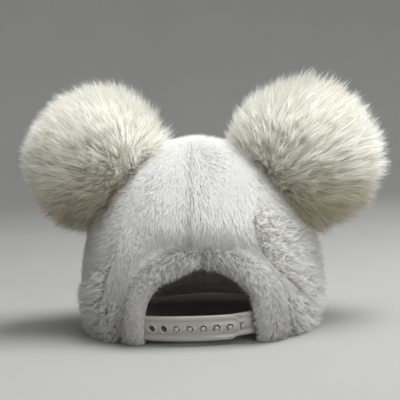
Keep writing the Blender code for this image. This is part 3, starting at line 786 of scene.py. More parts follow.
def strand_object(name, paths, sides, width, tone_and_shade):
    """Ribbons along paths of a few points each: two edges that close at the tip.

    The map's v runs from 0 at the foot to 1 at the tip. Its u is the strand's own tone with its painted
    shade, with a sliver of width so that the strand has an area on the map."""
    count, stops, _ = paths.shape
    taper = np.linspace(1.0, STRAND_TAPER, stops - 1)
    half = (width[:, None] * taper / 2.0)[..., None] * sides[:, None, :]
    feet = paths[:, :-1]
    points = np.stack([feet - half, feet + half], axis=2).reshape(count, -1, 3)
    points = np.concatenate([points, paths[:, -1:]], axis=1)
    each = points.shape[1]
    first = np.arange(count)[:, None] * each
    steps = []
    for step in range(stops - 2):
        steps.append(first + np.array([0, 1, 3, 2]) + 2 * step)
    last = 2 * (stops - 2)
    steps.append(first + np.array([last, last + 1, last + 2]))
    loops = np.concatenate(steps, axis=1)
    sizes = np.tile([4] * (stops - 2) + [3], count)
    along = np.append(np.repeat(np.arange(stops - 1), 2), stops - 1) / (stops - 1)
    sliver = np.append(np.tile([0.0, MAP_SLIVER], stops - 1), MAP_SLIVER / 2.0)
    own = np.repeat(tone_and_shade * (1.0 - MAP_SLIVER), each) + np.tile(sliver, count)
    uvs = np.stack([own, np.tile(along, count)], axis=-1)
    return add_object(name, points.reshape(-1, 3), loops.ravel(), sizes, uvs)


def spread_on(domain, place, count):
    """(across, up) scattered evenly over a surface: grid cells drawn by their area."""
    points = place(*domain(*even_grid(SPREAD_COLUMNS + 1, SPREAD_ROWS + 1)))
    over = points[:-1, 1:] - points[:-1, :-1]
    along = points[1:, :-1] - points[:-1, :-1]
    area = np.linalg.norm(np.cross(over, along), axis=-1).ravel()
    cell = rng.choice(area.size, size=count, p=area / area.sum())
    row, column = np.divmod(cell, SPREAD_COLUMNS)
    return (column + rng.random(count)) / SPREAD_COLUMNS, (row + rng.random(count)) / SPREAD_ROWS


def clumped_paths(roots, stops, outwards, locks):
    """Moves each path towards its locks' middles, along the surface and more at the tip.

    locks holds (cell size, strength) pairs, from the wide locks to the fine ones."""
    paths = roots[:, None, :] + stops
    for (cell, strength), seed in zip(locks, LOCK_SEEDS):
        pull = flattened(clump_centres(roots, cell, seed) - roots, outwards)
        paths += strength * pull[:, None, :] * np.array(LOCK_PULLS)[None, :, None]
    return paths


def pile_paths(points, outwards, flow, lean, length, locks, curl):
    """Three stops a strand: its foot, its middle and its tip, which leans over further. Each
    half is the length's half, out by the lean's cosine and along the flow by its sine."""
    across = np.cross(outwards, flow)
    sway = rng.normal(0.0, curl, (len(points), 1))
    way = unit(flow + sway * across)
    low, high = (lean * BEND_LOW)[:, None], (lean * BEND_HIGH)[:, None]
    half = length[:, None] / 2.0
    middle = (np.cos(low) * outwards + np.sin(low) * way) * half
    tip = middle + (np.cos(high) * outwards + np.sin(high) * way) * half
    stops = np.stack([np.zeros_like(middle), middle, tip], axis=1)
    side = unit(across + FLAT_SWAY * rng.normal(size=across.shape))
    return clumped_paths(points, stops, outwards, locks), side


def above_floor(paths):
    """Bends what would hang below the floor back up to just above it."""
    low = FLOOR_GAP + FLOOR_GAP_SPREAD * rng.random(paths.shape[:1])[:, None]
    paths[..., 2] = np.maximum(paths[..., 2], low)
    return paths


def add_node(tree, kind, settings=None, links=None, stops=()):
    """Adds a shader node, sets its properties and sockets, and links its inputs. Stops are
    the (place, colour) pairs of a colour ramp's two ends."""
    node = tree.nodes.new(kind)
    for key, value in (settings or {}).items():
        if hasattr(node, key):
            setattr(node, key, value)
        else:
            node.inputs[key].default_value = value
    for key, source in (links or {}).items():
        tree.links.new(source, node.inputs[key])
    for number, (place, colour) in enumerate(stops):
        node.color_ramp.elements[number].position = place
        node.color_ramp.elements[number].color = colour
    return node


def new_material(name):
    """(material, its empty node tree)."""
    material = bpy.data.materials.new(name)
    material.use_nodes = True
    material.node_tree.nodes.clear()
    return material, material.node_tree


def darker(colour, share):
    """The colour times a share, and still opaque."""
    return (*(share * part for part in colour[:3]), 1.0)


def thin_finish(tree, shader, colour, through):
    """Mixes a finish with light that goes through it, and makes that the material's surface."""
    passing = add_node(tree, "ShaderNodeBsdfTranslucent", links={"Color": colour})
    both = add_node(
        tree, "ShaderNodeMixShader", {"Fac": through},
        {1: shader.outputs["BSDF"], 2: passing.outputs["BSDF"]},
    )
    add_node(tree, "ShaderNodeOutputMaterial", links={"Surface": both.outputs["Shader"]})


def strand_material(name, root, tip, darkest, roughness, through):
    """Acrylic fibres, painted darker and warmer at the foot as the shade deep in the pile, each strand
    with its own tone and painted shade, and so thin that part of the light goes through them, which
    keeps the pile white in depth.

    The colour is the ramp from foot to tip times a ramp from the darkest strand to white; the second
    ramp carries each strand's own tone and its painted shade."""
    material, tree = new_material(name)
    uv = add_node(tree, "ShaderNodeUVMap", {"uv_map": MAP_NAME})
    parts = add_node(tree, "ShaderNodeSeparateXYZ", links={"Vector": uv.outputs["UV"]})
    ramp = add_node(
        tree, "ShaderNodeValToRGB", links={"Fac": parts.outputs["Y"]},
        stops=((0.0, root), (0.75, tip)),
    )
    shade = add_node(
        tree, "ShaderNodeValToRGB", links={"Fac": parts.outputs["X"]},
        stops=((0.0, darkest), (1.0, (1.0, 1.0, 1.0, 1.0))),
    )
    tinted = add_node(
        tree, "ShaderNodeVectorMath", {"operation": "MULTIPLY"},
        {0: ramp.outputs["Color"], 1: shade.outputs["Color"]},
    )
    shader = add_node(
        tree, "ShaderNodeBsdfPrincipled", {"Roughness": roughness, "Specular IOR Level": 0.3},
        {"Base Color": tinted.outputs["Vector"]},
    )
    thin_finish(tree, shader, tinted.outputs["Vector"], through)
    return material


def cloth_material(name, colour, thread, through):
    """Knitted yarn: fine ribs of loops that break the light up softly and pass a little."""
    material, tree = new_material(name)
    place = add_node(tree, "ShaderNodeTexCoord")
    ribs = add_node(
        tree, "ShaderNodeTexWave",
        {"Scale": 1.0 / thread / FULL_TURN, "Distortion": 1.5, "Detail": 2.0, "bands_direction": "Z"},
        {"Vector": place.outputs["Object"]},
    )
    fuzz = add_node(
        tree, "ShaderNodeTexNoise",
        {"Scale": 1.0 / thread / 2.0, "Detail": 3.0}, {"Vector": place.outputs["Object"]},
    )
    both = add_node(
        tree, "ShaderNodeMath", {"operation": "ADD"},
        {0: ribs.outputs["Fac"], 1: fuzz.outputs["Fac"]},
    )
    bump = add_node(
        tree, "ShaderNodeBump", {"Strength": 0.5, "Distance": thread}, {"Height": both.outputs[0]},
    )
    ramp = add_node(
        tree, "ShaderNodeValToRGB", links={"Fac": fuzz.outputs["Fac"]},
        stops=((0.3, darker(colour, 0.8)), (0.6, colour)),
    )
    shader = add_node(
        tree, "ShaderNodeBsdfPrincipled", {"Roughness": 0.95, "Sheen Weight": 0.3},
        {"Base Color": ramp.outputs["Color"], "Normal": bump.outputs["Normal"]},
    )
    thin_finish(tree, shader, ramp.outputs["Color"], through)
    return material


def plastic_material(name, colour):
    """Moulded milky polyethylene: light goes a little way in, and its face is faintly wavy
    with a soft waxy gloss."""
    material, tree = new_material(name)
    place = add_node(tree, "ShaderNodeTexCoord")
    wave = add_node(
        tree, "ShaderNodeTexNoise", {"Scale": 1.0 / PLASTIC_WAVE, "Detail": 2.0},
        {"Vector": place.outputs["Object"]},
    )
    bump = add_node(
        tree, "ShaderNodeBump", {"Strength": 0.15, "Distance": PLASTIC_WAVE_HEIGHT},
        {"Height": wave.outputs["Fac"]},
    )
    shader = add_node(
        tree, "ShaderNodeBsdfPrincipled",
        {"Base Color": colour, "Roughness": 0.32, "IOR": 1.5, "Transmission Weight": 0.5,
         "Subsurface Weight": 0.3, "Subsurface Radius": (1.0, 1.0, 0.9),
         "Subsurface Scale": PLASTIC_SCATTER},
        {"Normal": bump.outputs["Normal"]},
    )
    add_node(tree, "ShaderNodeOutputMaterial", links={"Surface": shader.outputs["BSDF"]})
    return material


def paper_material(name, colour, roughness):
    """Matt paper sweep, with a faint mottle."""
    material, tree = new_material(name)
    place = add_node(tree, "ShaderNodeTexCoord")
    mottle = add_node(
        tree, "ShaderNodeTexNoise", {"Scale": 1.0 / PAPER_MOTTLE, "Detail": 2.0},
        {"Vector": place.outputs["Object"]},
    )
    ramp = add_node(
        tree, "ShaderNodeValToRGB", links={"Fac": mottle.outputs["Fac"]},
        stops=((0.35, darker(colour, 0.96)), (0.65, colour)),
    )
    shader = add_node(
        tree, "ShaderNodeBsdfPrincipled", {"Roughness": roughness},
        {"Base Color": ramp.outputs["Color"]},
    )
    add_node(tree, "ShaderNodeOutputMaterial", links={"Surface": shader.outputs["BSDF"]})
    return material


def material_of(context, name):
    """The scene's materials, each made the first time that a piece asks for it."""
    if name in bpy.data.materials:
        return bpy.data.materials[name]
    colours = context.scene.cap_colours
    makers = {
        "acrylic_plush_pile": lambda: strand_material(
            name, colours.plush_root, colours.plush_tip, colours.plush_shade_and_tone, roughness=0.6, through=0.6),
        "acrylic_pompom_fur": lambda: strand_material(
            name, colours.fur_root, colours.fur_tip, colours.fur_shade_and_tone, roughness=0.5, through=0.75),
        "knitted_polyester_backing": lambda: cloth_material(
            name, colours.backing, BACKING_THREAD, through=0.25),
        "pompom_core_yarn": lambda: cloth_material(
            name, colours.fur_root, CORE_THREAD, through=0.1),
        "moulded_milky_polyethylene": lambda: plastic_material(name, colours.strap),
        "paper_sweep": lambda: paper_material(name, colours.floor, roughness=0.9),
    }
    return makers[name]()


def seam_ridge(skin, angle, rise):
    """How near the centre back seam, from 0 to 1: a bell across it that ends near the top."""
    seam_x = crown_skin(seam_angle("centre_back", rise, 1), rise)[:, 0]
    behind = smooth_step((TOP_RISE - rise) / SEAM_RIDGE_FADE) * (np.abs(angle) < math.pi / 2)
    return bell((skin[:, 0] - seam_x) / SEAM_RIDGE_WIDTH) * behind


def grain_share(skin, angle, side, style):
    """How far a panel's pile is in the grain, from 0 to 1: low down, and not far round."""
    top = GRAIN_TOP[side] - GRAIN_FALL * np.maximum(np.abs(angle) - GRAIN_START, 0.0)
    grain = smooth_step((top - skin[:, 2]) / GRAIN_TOP_FADE)
    grain *= smooth_step((GRAIN_END - np.abs(angle)) / GRAIN_END_FADE)
    if style == "back":
        grain *= BACK_GRAIN * smooth_step((BACK_GRAIN_TOP - skin[:, 2]) / BACK_GRAIN_FADE)
    return grain


def hem_dip(skin):
    """How near the crease outside the hem, from 0 to 1, by the arch's superellipse."""
    wide, tall = np.abs(skin[:, 0]) / ARCH_HALF_WIDTH, skin[:, 2] / ARCH_HEIGHT
    grown = (wide**ARCH_FULLNESS + tall**ARCH_FULLNESS) ** (1.0 / ARCH_FULLNESS)
    off = (grown - 1.0) * (ARCH_HALF_WIDTH + ARCH_HEIGHT) / 2.0
    share = np.arctan2(wide, tall) / (math.pi / 2)
    return bell(np.maximum(off - hem_width(share), 0.0) / DIP_WIDTH) * (skin[:, 1] > 0)


def panel_backing(context, name, domain):
    """A panel's closed backing wall, which is thinner beside its seams but not at the top."""
    across, up = even_grid(*PANEL_GRID)
    angle, rise = domain(across, up)
    skin = crown_skin(angle, rise)
    out, _, _ = crown_axes(angle, rise)
    from_seam = np.minimum(across, 1.0 - across)
    edge = np.minimum(1.0, from_seam * SEAM_BEVEL + SEAM_BACKING_SHARE)
    edge = 1.0 - (1.0 - edge) * smooth_step((TOP_RISE - rise) / TOP_FADE)
    face = skin + out * (context.scene.cap_sizes.backing * edge)[..., None]
    face[..., 2] = np.maximum(face[..., 2], 0.0)
    dress(context, shell_object(f"{name}_backing", skin, face), "knitted_polyester_backing", name)


def panel_comb(roots, axes, crest, signed_grain, own):
    """Which way a panel's pile lies: down the wall with a sway that grows at the top, and in
    the grain towards the back, with each lock a way of its own."""
    out, down, round_it = axes
    grain = np.abs(signed_grain)
    sway = COMB_SWAY + COMB_TOP_SWAY * (1.0 - crest)
    comb = down + sway[:, None] * wave_field(roots, COMB_WAVE, seed=5)
    comb = comb * (1.0 - GRAIN_COMB_LOST * grain)[:, None]
    comb = comb - (GRAIN_BACKWARDS * signed_grain)[:, None] * round_it
    comb += (GRAIN_SCATTER * grain)[:, None] * (own - 0.5)
    return unit(flattened(comb, out))


def panel_pile(context, name, domain, style, count):
    """A panel's pile, combed down the wall and drawn into locks in its grain."""
    sizes = context.scene.cap_sizes
    lean, reach, sway, locks = PANEL_STYLES[style]
    side = -1 if name.endswith("right") else 1
    angle, rise = domain(*spread_on(domain, crown_skin, count))
    axes = crown_axes(angle, rise)
    skin = crown_skin(angle, rise)
    ridge, dip = seam_ridge(skin, angle, rise), hem_dip(skin)
    grain = grain_share(skin, angle, side, style)
    crest = smooth_step((TOP_RISE - rise) / TOP_FADE)
    foot = sizes.backing * (PILE_FOOT - DIP_SINK * dip) + SEAM_RIDGE_HEIGHT * ridge
    roots = skin + axes[0] * foot[:, None]
    grain_lock = clump_centres(roots, GRAIN_CELL, seed=8.8)
    own = hashed(grain_lock / MM, seed=6.1)
    shaded_lock = smooth_step((own[:, 1] - GRAIN_SHADED_START) / GRAIN_SHADED_SPAN)
    comb = panel_comb(roots, axes, crest, side * grain, own)

    leans = lean * (1.0 + LEAN_SWAY * wave_field(roots, LEAN_WAVE, seed=8)[:, 0])
    leans *= (1.0 + SEAM_RIDGE_LEAN * ridge) * (LEAN_TOP_SHARE + (1.0 - LEAN_TOP_SHARE) * crest)
    leans += grain * (GRAIN_LEAN - leans) + rng.normal(0.0, LEAN_SPREAD, count)
    length = sizes.pile * reach * rng.uniform(*PILE_LENGTHS, count) * (1.0 - DIP_SHORTER * dip)
    length *= 1.0 + grain * GRAIN_LENGTH_SWING * (GRAIN_LENGTH_MIDDLE - shaded_lock)
    paths, flat = pile_paths(roots, axes[0], comb, leans, length, locks, sway)
    drawn = (grain_lock - roots) * (GRAIN_DRAWN * grain)[:, None]
    paths = above_floor(paths + drawn[:, None, :] * np.linspace(0.0, 1.0, 3)[None, :, None])
    width = sizes.strand_width * rng.uniform(*PILE_WIDTHS, count)
    # Painted shade: short locks in the grain, the crease outside the hem and the seam ridge's flanks are
    # darker; the random part is each strand's own tone.
    shade = 1.0 - rng.random(count) * PILE_SHADE_SPREAD * (1.0 - grain)
    shade -= grain * (GRAIN_SHADE + GRAIN_LOCK_SHADE[side] * shaded_lock)
    shade *= (1.0 - DIP_SHADE * dip) * (1.0 - SEAM_FLANK_SHADE * ridge * (1.0 - ridge))
    pile = strand_object(f"{name}_pile", paths, flat, width, shade)
    dress(context, pile, "acrylic_plush_pile", name)


def crown_panel(context, name, domain, style, count):
    """One panel: its closed backing wall and the pile on it."""
    panel_backing(context, name, domain)
    panel_pile(context, name, domain, style, count)


class CAP_OT_crown(bpy.types.Operator):
    """Six plush panels: knitted backing with its pile"""

    bl_idname = "cap.crown"
    bl_label = "Crown panels"

    def execute(self, context):
        strands = context.scene.cap_strands
        for word, side in (("left", 1), ("right", -1)):
            seam = f"{word}_side"
            crown_panel(context, f"crown_back_{word}", back_domain(side, seam), "back", strands.back)
            around = panel_domain(seam, "front", side)
            crown_panel(context, f"crown_side_{word}", around, "side", strands.side)
            ahead = panel_domain("front", "centre_front", side)
            crown_panel(context, f"crown_front_{word}", ahead, "front", strands.front)
        return {"FINISHED"}


def hem_length(share, turn):
    """The hem fur's length as a share: short at the inner edge and at the notch, longer beside
    the notch, and short down the left leg. Each is a smooth step or a bell."""
    length = HEM_EDGE_LENGTH + (1.0 - HEM_EDGE_LENGTH) * smooth_step(turn / HEM_EDGE_TURN)
    length *= 1.0 - NOTCH_SHORTER * bell(share / NOTCH_WIDTH)
    length *= 1.0 + NOTCH_TUFT_LONGER * bell((np.abs(share) - NOTCH_TUFT_PLACE) / NOTCH_TUFT_WIDTH)
    return length * (1.0 - HEM_LEFT_SHORTER * smooth_step((share - HEM_LEFT_START) / HEM_LEFT_SPAN))


def hem_roll(context):
    """The roll's cloth: half an ellipse carried round the arch, and the same face one cloth
    further inside."""
    columns, rows = HEM_GRID
    share, turn = np.meshgrid(
        np.linspace(-HEM_END, HEM_END, columns), np.linspace(HEM_LIP_TURN, math.pi, rows))
    face, roll_out, _, _ = hem_axes(share, turn)
    face[..., 2] = np.maximum(face[..., 2], HEM_FLOOR_GAP)
    inside = face - roll_out * HEM_CLOTH
    inside[..., 2] = np.maximum(inside[..., 2], HEM_FLOOR_GAP)
    roll = shell_object("back_hem_roll", inside, face)
    dress(context, roll, "knitted_polyester_backing", "back_hem")


def hem_fur(context):
    """Strands from the roll, combed inwards and away from the notch to both feet."""
    sizes = context.scene.cap_sizes
    count = context.scene.cap_strands.hem
    share = rng.uniform(-HEM_END, HEM_END, count)
    turn = math.pi * rng.uniform(0.0, 1.0, count)
    roots, roll_out, wall_out, outwards = hem_axes(share, turn)
    away = np.sign(share)[:, None] * np.cross(wall_out, outwards)
    wave = wave_field(roots, HEM_WAVE, seed=21)
    flow = unit(-outwards + HEM_SWEEP * away + HEM_WAVE_SWAY * wave)
    flow = unit(flattened(flow, roll_out))
    lean = HEM_LEAN + HEM_LEAN_SWELL * np.sin(turn) + rng.normal(0.0, HEM_LEAN_SPREAD, count)
    length = sizes.hem_pile * rng.uniform(*HEM_LENGTHS, count) * hem_length(share, turn)
    paths, flat = pile_paths(roots, roll_out, flow, lean, length, HEM_LOCKS, HEM_SWAY)
    paths = above_floor(paths)
    width = sizes.strand_width * rng.uniform(*PILE_WIDTHS, count)
    # Painted shade: the hem's top, under the overhanging panel, is darker than its feet; the random part
    # is each strand's own tone.
    shade = smooth_step(np.abs(share) / HEM_BRIGHTENING_SHARE)
    shade = HEM_TOP_BRIGHTNESS + HEM_FOOT_BRIGHTENING * shade
    shade *= 1.0 - SHORT_PILE_SHADE_SPREAD * rng.random(count)
    fur = strand_object("back_hem_pile", paths, flat, width, shade)
    dress(context, fur, "acrylic_plush_pile", "back_hem")


class CAP_OT_hem(bpy.types.Operator):
    """Puffed plush hem round the open back, with its fur combed over the edge"""

    bl_idname = "cap.hem"
    bl_label = "Back hem"

    def execute(self, context):
        hem_roll(context)
        hem_fur(context)
        return {"FINISHED"}


def brim_top(across, up):
    """Points on the brim's under face: its plan, lifted by the arch from side to side."""
    plan = brim_plan(across, up)
    return np.concatenate([plan, brim_level(plan[..., 0])[..., None]], axis=-1)


def brim_axes(across, up):
    """Unit vectors out of the brim and forwards along it, from small differences."""
    ahead = brim_top(across, up + BRIM_STEP) - brim_top(across, up - BRIM_STEP)
    right = np.minimum(across + BRIM_SIDE_STEP, 1.0)
    beside = brim_top(right, up) - brim_top(across - BRIM_SIDE_STEP, up)
    out = unit(np.cross(ahead, beside))
    return out * np.sign(out[:, 2:3]), unit(ahead)


def brim_board(context):
    """The board between the brim's under face and a face above it that falls at the edge."""
    across, up = even_grid(*BRIM_GRID)
    under = brim_top(across, up) + (0.0, 0.0, BRIM_BOARD_LIFT)
    edge = np.clip(1.0 - up**BRIM_EDGE_FULLNESS, BRIM_EDGE_SHARE, 1.0)
    upper = under + (BRIM_BOARD * np.sqrt(edge))[..., None] * (0.0, 0.0, 1.0)
    board = shell_object("brim_board", under, upper)
    dress(context, board, "knitted_polyester_backing", "brim")


def brim_pile(context):
    """Short strands on the board, combed forwards."""
    sizes = context.scene.cap_sizes
    count = context.scene.cap_strands.brim
    across, up = spread_on(lambda across, up: (across, up), brim_top, count)
    roots = brim_top(across, up) + (0.0, 0.0, BRIM_PILE_FOOT)
    out, ahead = brim_axes(across, up)
    flow = unit(ahead + BRIM_WAVE_SWAY * wave_field(roots, BRIM_WAVE, seed=31))
    flow = unit(flattened(flow, out))
    lean = BRIM_LEAN + rng.normal(0.0, BRIM_LEAN_SPREAD, count)
    length = sizes.brim_pile * rng.uniform(*BRIM_LENGTHS, count)
    paths, flat = pile_paths(roots, out, flow, lean, length, BRIM_LOCKS, BRIM_SWAY)
    paths = above_floor(paths)
    width = sizes.strand_width * rng.uniform(*BRIM_WIDTHS, count)
    shade = 1.0 - SHORT_PILE_SHADE_SPREAD * rng.random(count)
    pile = strand_object("brim_pile", paths, flat, width, shade)
    dress(context, pile, "acrylic_plush_pile", "brim")


class CAP_OT_brim(bpy.types.Operator):
    """Plush-covered brim: a stiff arched board in cloth, with short pile on top"""

    bl_idname = "cap.brim"
    bl_label = "Brim"

    def execute(self, context):
        brim_board(context)
        brim_pile(context)
        return {"FINISHED"}


def pressed(points, centre, seat, inwards):
    """Pushes points beyond the pompom's flat side back onto it."""
    beyond = np.maximum((points - centre) @ inwards - seat, 0.0)
    return points - beyond[..., None] * inwards


def outside_crown(points, clearance):
    """Pushes points that lie within the crown's cloth out of it, along the line from its
    middle: the wall is near an ellipsoid standing on a short straight stretch."""
    middle = np.array((0.0, -CROWN_LEAN / 2.0, BELLY_HEIGHT))
    dome = (RIM_HALF_WIDTH + BELLY_SWELL, RIM_HALF_LENGTH + BELLY_SWELL, CROWN_DEPTH - BELLY_HEIGHT)
    from_middle = points - middle
    above = np.maximum(from_middle, (-np.inf, -np.inf, 0.0))
    size = np.linalg.norm(above / (np.array(dome) + clearance), axis=-1, keepdims=True)
    return middle + from_middle * np.maximum(1.0, 1.0 / np.maximum(size, TINY))


def pompom_core(context, node, centre, inwards, radius, seat):
    """The yarn core: a ball pressed flat at its seat and kept outside the crown's plush."""
    columns, rows = POMPOM_GRID
    turn, tilt = np.meshgrid(
        np.linspace(0, FULL_TURN, columns), np.linspace(POLE_GAP, math.pi - POLE_GAP, rows))
    ball = np.stack([np.cos(turn) * np.sin(tilt), np.sin(turn) * np.sin(tilt), np.cos(tilt)], axis=-1)
    hollow, solid = (
        pressed(centre + ball * radius * size, centre, seat * flat, inwards)
        for size, flat in POMPOM_CORE)
    core = shell_object(f"{node}_core", hollow, outside_crown(solid, PLUSH_THICKNESS))
    dress(context, core, "pompom_core_yarn", node)


def fur_paths(wanted, centre, inwards, radius, seat, number):
    """(paths, directions, fine locks' shares) of a ball of long strands.

    A strand's tip lies on the ball. Its foot lies on the core, nearer to the seat by the
    comb's angle times the sine of the polar angle, as in fur combed off the crown."""
    way = unit(rng.normal(size=(2 * wanted, 3)))
    way = way[way @ inwards < (seat + FUR_PAST_SEAT) / radius][:wanted]
    count = len(way)
    shell = centre + way * radius
    wide = clump_centres(shell, FUR_WIDE_CELL, seed=5.1 + number)
    fine = clump_centres(shell, FUR_FINE_CELL, seed=9.3 + number)
    own_wide, own_fine = hashed(wide / MM, seed=7.7), hashed(fine / MM, seed=2.2)
    reach = FUR_REACH - FUR_REACH_SPREAD * rng.random(count) ** FUR_REACH_POWER
    reach -= FUR_FINE_LOSS * own_fine[:, 0] + FUR_WIDE_LOSS * own_wide[:, 0]
    comb = FUR_COMB * (0.5 + own_wide[:, 1])
    flow = -inwards + (way @ inwards)[:, None] * way
    swirl = wave_field(shell, FUR_WAVE, seed=41 + number)
    near_seat = smooth_step(((way @ inwards) * radius - seat + FUR_SEAT_START) / FUR_SEAT_FADE)
    curl = (own_fine - 0.5) * (1.0 + FUR_CURL_AT_SEAT * near_seat)[:, None]
    stops = []
    for share, bend in FUR_STOPS:
        turned = unit(way - np.tan((1.0 - share) * comb)[:, None] * flow)
        point = centre + turned * (radius * (FUR_FOOT + (reach - FUR_FOOT) * share))[:, None]
        point += bend * (FUR_WIDE_PULL * (wide - shell) + FUR_FINE_PULL * (fine - shell))
        point += bend * (FUR_SWIRL * swirl + FUR_CURL * curl + rng.normal(0.0, FUR_FUZZ, (count, 3)))
        point[:, 2] -= bend * FUR_SAG
        point = pressed(point, centre, seat + FUR_PRESSED_PAST_SEAT, inwards)
        clearance = FUR_CROWN_SHARE * PLUSH_THICKNESS + FUR_CROWN_SPREAD * rng.random((count, 1))
        stops.append(outside_crown(point, clearance))
    return np.stack(stops, axis=1), way, own_fine[:, 0]


def make_pompom(context, word, number):
    """A core and its fur, pressed flat against the crown. The fur is painted darker below, as shade, and
    its shorter tufts are painted darker, as the shade of the longer ones."""
    side_place, height, radius, seat, slope = POMPOMS[word]
    centre = np.array((side_place, -POMPOM_AHEAD, height))
    inwards = np.array((-math.copysign(math.cos(slope), side_place), 0.0, -math.sin(slope)))
    node = f"pompom_{word}"
    pompom_core(context, node, centre, inwards, radius, seat)
    wanted = context.scene.cap_strands.pompom
    paths, way, tuft = fur_paths(wanted, centre, inwards, radius, seat, number)
    flat = unit(np.cross(way, rng.normal(size=way.shape)))
    width = context.scene.cap_sizes.fur_width * rng.uniform(*FUR_WIDTHS, len(way))
    # Painted shade: darker below and in the shorter tufts; the random part is each strand's own tone.
    shade = 1.0 - FUR_UNDER_SHADE * smooth_step((FUR_UNDER_START - way[:, 2]) / FUR_UNDER_SPAN)
    shade *= (1.0 - FUR_SHADE_SPREAD * rng.random(len(way))) * (1.0 - FUR_TUFT_SHADE * tuft)
    fur = strand_object(f"{node}_fur", paths, flat, width, shade)
    dress(context, fur, "acrylic_pompom_fur", node)


class CAP_OT_pompoms(bpy.types.Operator):
    """Two pompom ears of long cream fur, pressed against the crown"""

    bl_idname = "cap.pompoms"
    bl_label = "Pompom ears"

    def execute(self, context):
        for number, word in enumerate(POMPOMS):
            make_pompom(context, word, number)
        return {"FINISHED"}


def strap_angle(along):
    """The angle whose distance along the wall from the back centre is along."""
    angles = np.linspace(-math.pi / 2, math.pi / 2, WALL_SAMPLES)
    points = crown_skin(angles, rise_at(STRAP_HEIGHT))
    steps = np.linalg.norm(np.diff(points, axis=0), axis=1)
    length = np.concatenate([[0.0], np.cumsum(steps)])
    return np.interp(along, length - length[len(length) // 2], angles)


def strap_point(along, height, depth):
    """Points and outward normals inside the wall, at a depth from its inner face."""
    angle, rise = strap_angle(along), rise_at(height)
    out, _, _ = crown_axes(angle, rise)
    return crown_skin(angle, rise) - out * np.asarray(depth)[..., None], out


def strap_body(name, nose, root, width, climb, depth):
    """One strap piece: a band with raised rims and a sunken plate. Its nose narrows by a
    quarter circle, and its face falls to the nose's end as a square."""
    rows = np.array(STRAP_FACE)
    steps = np.concatenate([np.linspace(0.0, 1.0, NOSE_STEPS) ** 2 * NOSE_SPAN,
                            np.linspace(NOSE_SPAN, abs(root - nose), BAND_STEPS)[1:]])
    along = nose + math.copysign(1.0, root - nose) * steps
    along, level = np.meshgrid(along, rows[:, 0])
    from_nose = np.abs(along - nose)
    short = np.clip(1.0 - from_nose / NOSE_RADIUS, 0.0, 1.0)
    cut_in = NOSE_RADIUS * (1.0 - np.sqrt(1.0 - short**2))
    centre = STRAP_HEIGHT - climb * np.minimum(along - FIRST_SNAP, 0.0)
    height = centre + (level - 0.5) * (width - 2.0 * cut_in)
    ending = np.clip(1.0 - from_nose / END_ROUNDING, 0.0, 1.0)
    relief = rows[:, 1:2] * MM * smooth_step((from_nose - END_ROUNDING) / RELIEF_FADE)
    relief = relief + END_DROP * ending**2
    face, out = strap_point(along, height, depth - STRAP_THICKNESS + relief)
    back, _ = strap_point(along, height, np.full_like(along, depth))
    return shell_object(name, back, face)


def turned_faces(rings, sides, first=0):
    """Four-cornered faces between rings of points, closed round each ring."""
    index = first + np.arange(rings * sides).reshape(rings, sides)
    turned = np.roll(index, -1, axis=1)
    return np.stack([index[:-1], turned[:-1], turned[1:], index[1:]], axis=-1).reshape(-1)


def snap_lathe(name, places, climb, profile, sides=SNAP_SIDES):
    """Turned snaps: a profile of (radius, depth inside the wall) swept round each place."""
    profile = np.array(profile)
    turn = np.linspace(0.0, FULL_TURN, sides + 1)[:-1]
    points, loops = [], []
    rings = len(profile)
    for along in places:
        height = STRAP_HEIGHT - climb * min(along - FIRST_SNAP, 0.0)
        middle, out = strap_point(np.array(along), np.array(height), 0.0)
        across = unit(np.cross((0.0, 0.0, 1.0), out))
        upwards = np.cross(out, across)
        ring = np.cos(turn)[:, None] * across + np.sin(turn)[:, None] * upwards
        body = middle - profile[:, 1, None, None] * out + profile[:, 0, None, None] * ring[None]
        loops.append(turned_faces(rings, sides, len(points) * rings * sides))
        points.append(body.reshape(-1, 3))
    loops = np.concatenate(loops)
    return add_object(name, np.concatenate(points), loops, np.full(len(loops) // 4, 4))


def hole_cutter(places):
    """Closed drums through the outer strap at its holes."""
    deep, high = STRAP_GAP + 3.0 * STRAP_THICKNESS, -CUTTER_STAND_OUT
    profile = ((CUTTER_AXIS, deep), (HOLE_RADIUS, deep), (HOLE_RADIUS, high), (CUTTER_AXIS, high))
    return snap_lathe("strap_hole_cutter", places, 0.0, profile, CUTTER_SIDES)


def drill(obj, cutter):
    """Cuts the drums out of a piece's mesh, and removes them."""
    holes = obj.modifiers.new("Holes", "BOOLEAN")
    holes.object = cutter
    holes.solver = "EXACT"
    bpy.context.view_layer.update()
    graph = bpy.context.evaluated_depsgraph_get()
    drilled = bpy.data.meshes.new_from_object(obj.evaluated_get(graph))
    obj.modifiers.clear()
    obj.data = drilled
    bpy.data.objects.remove(cutter)


def peg_profile(foot, top):
    """A peg from its foot in the inner strap, up its neck and over its head to the axis."""
    head = [(PEG_RADIUS * share, top + below * MM) for share, below in PEG_HEAD]
    neck = (PEG_RADIUS * PEG_NECK_SHARE, foot)
    return [(PEG_AXIS, foot), neck, *head, (PEG_AXIS, top - PEG_DOME)]


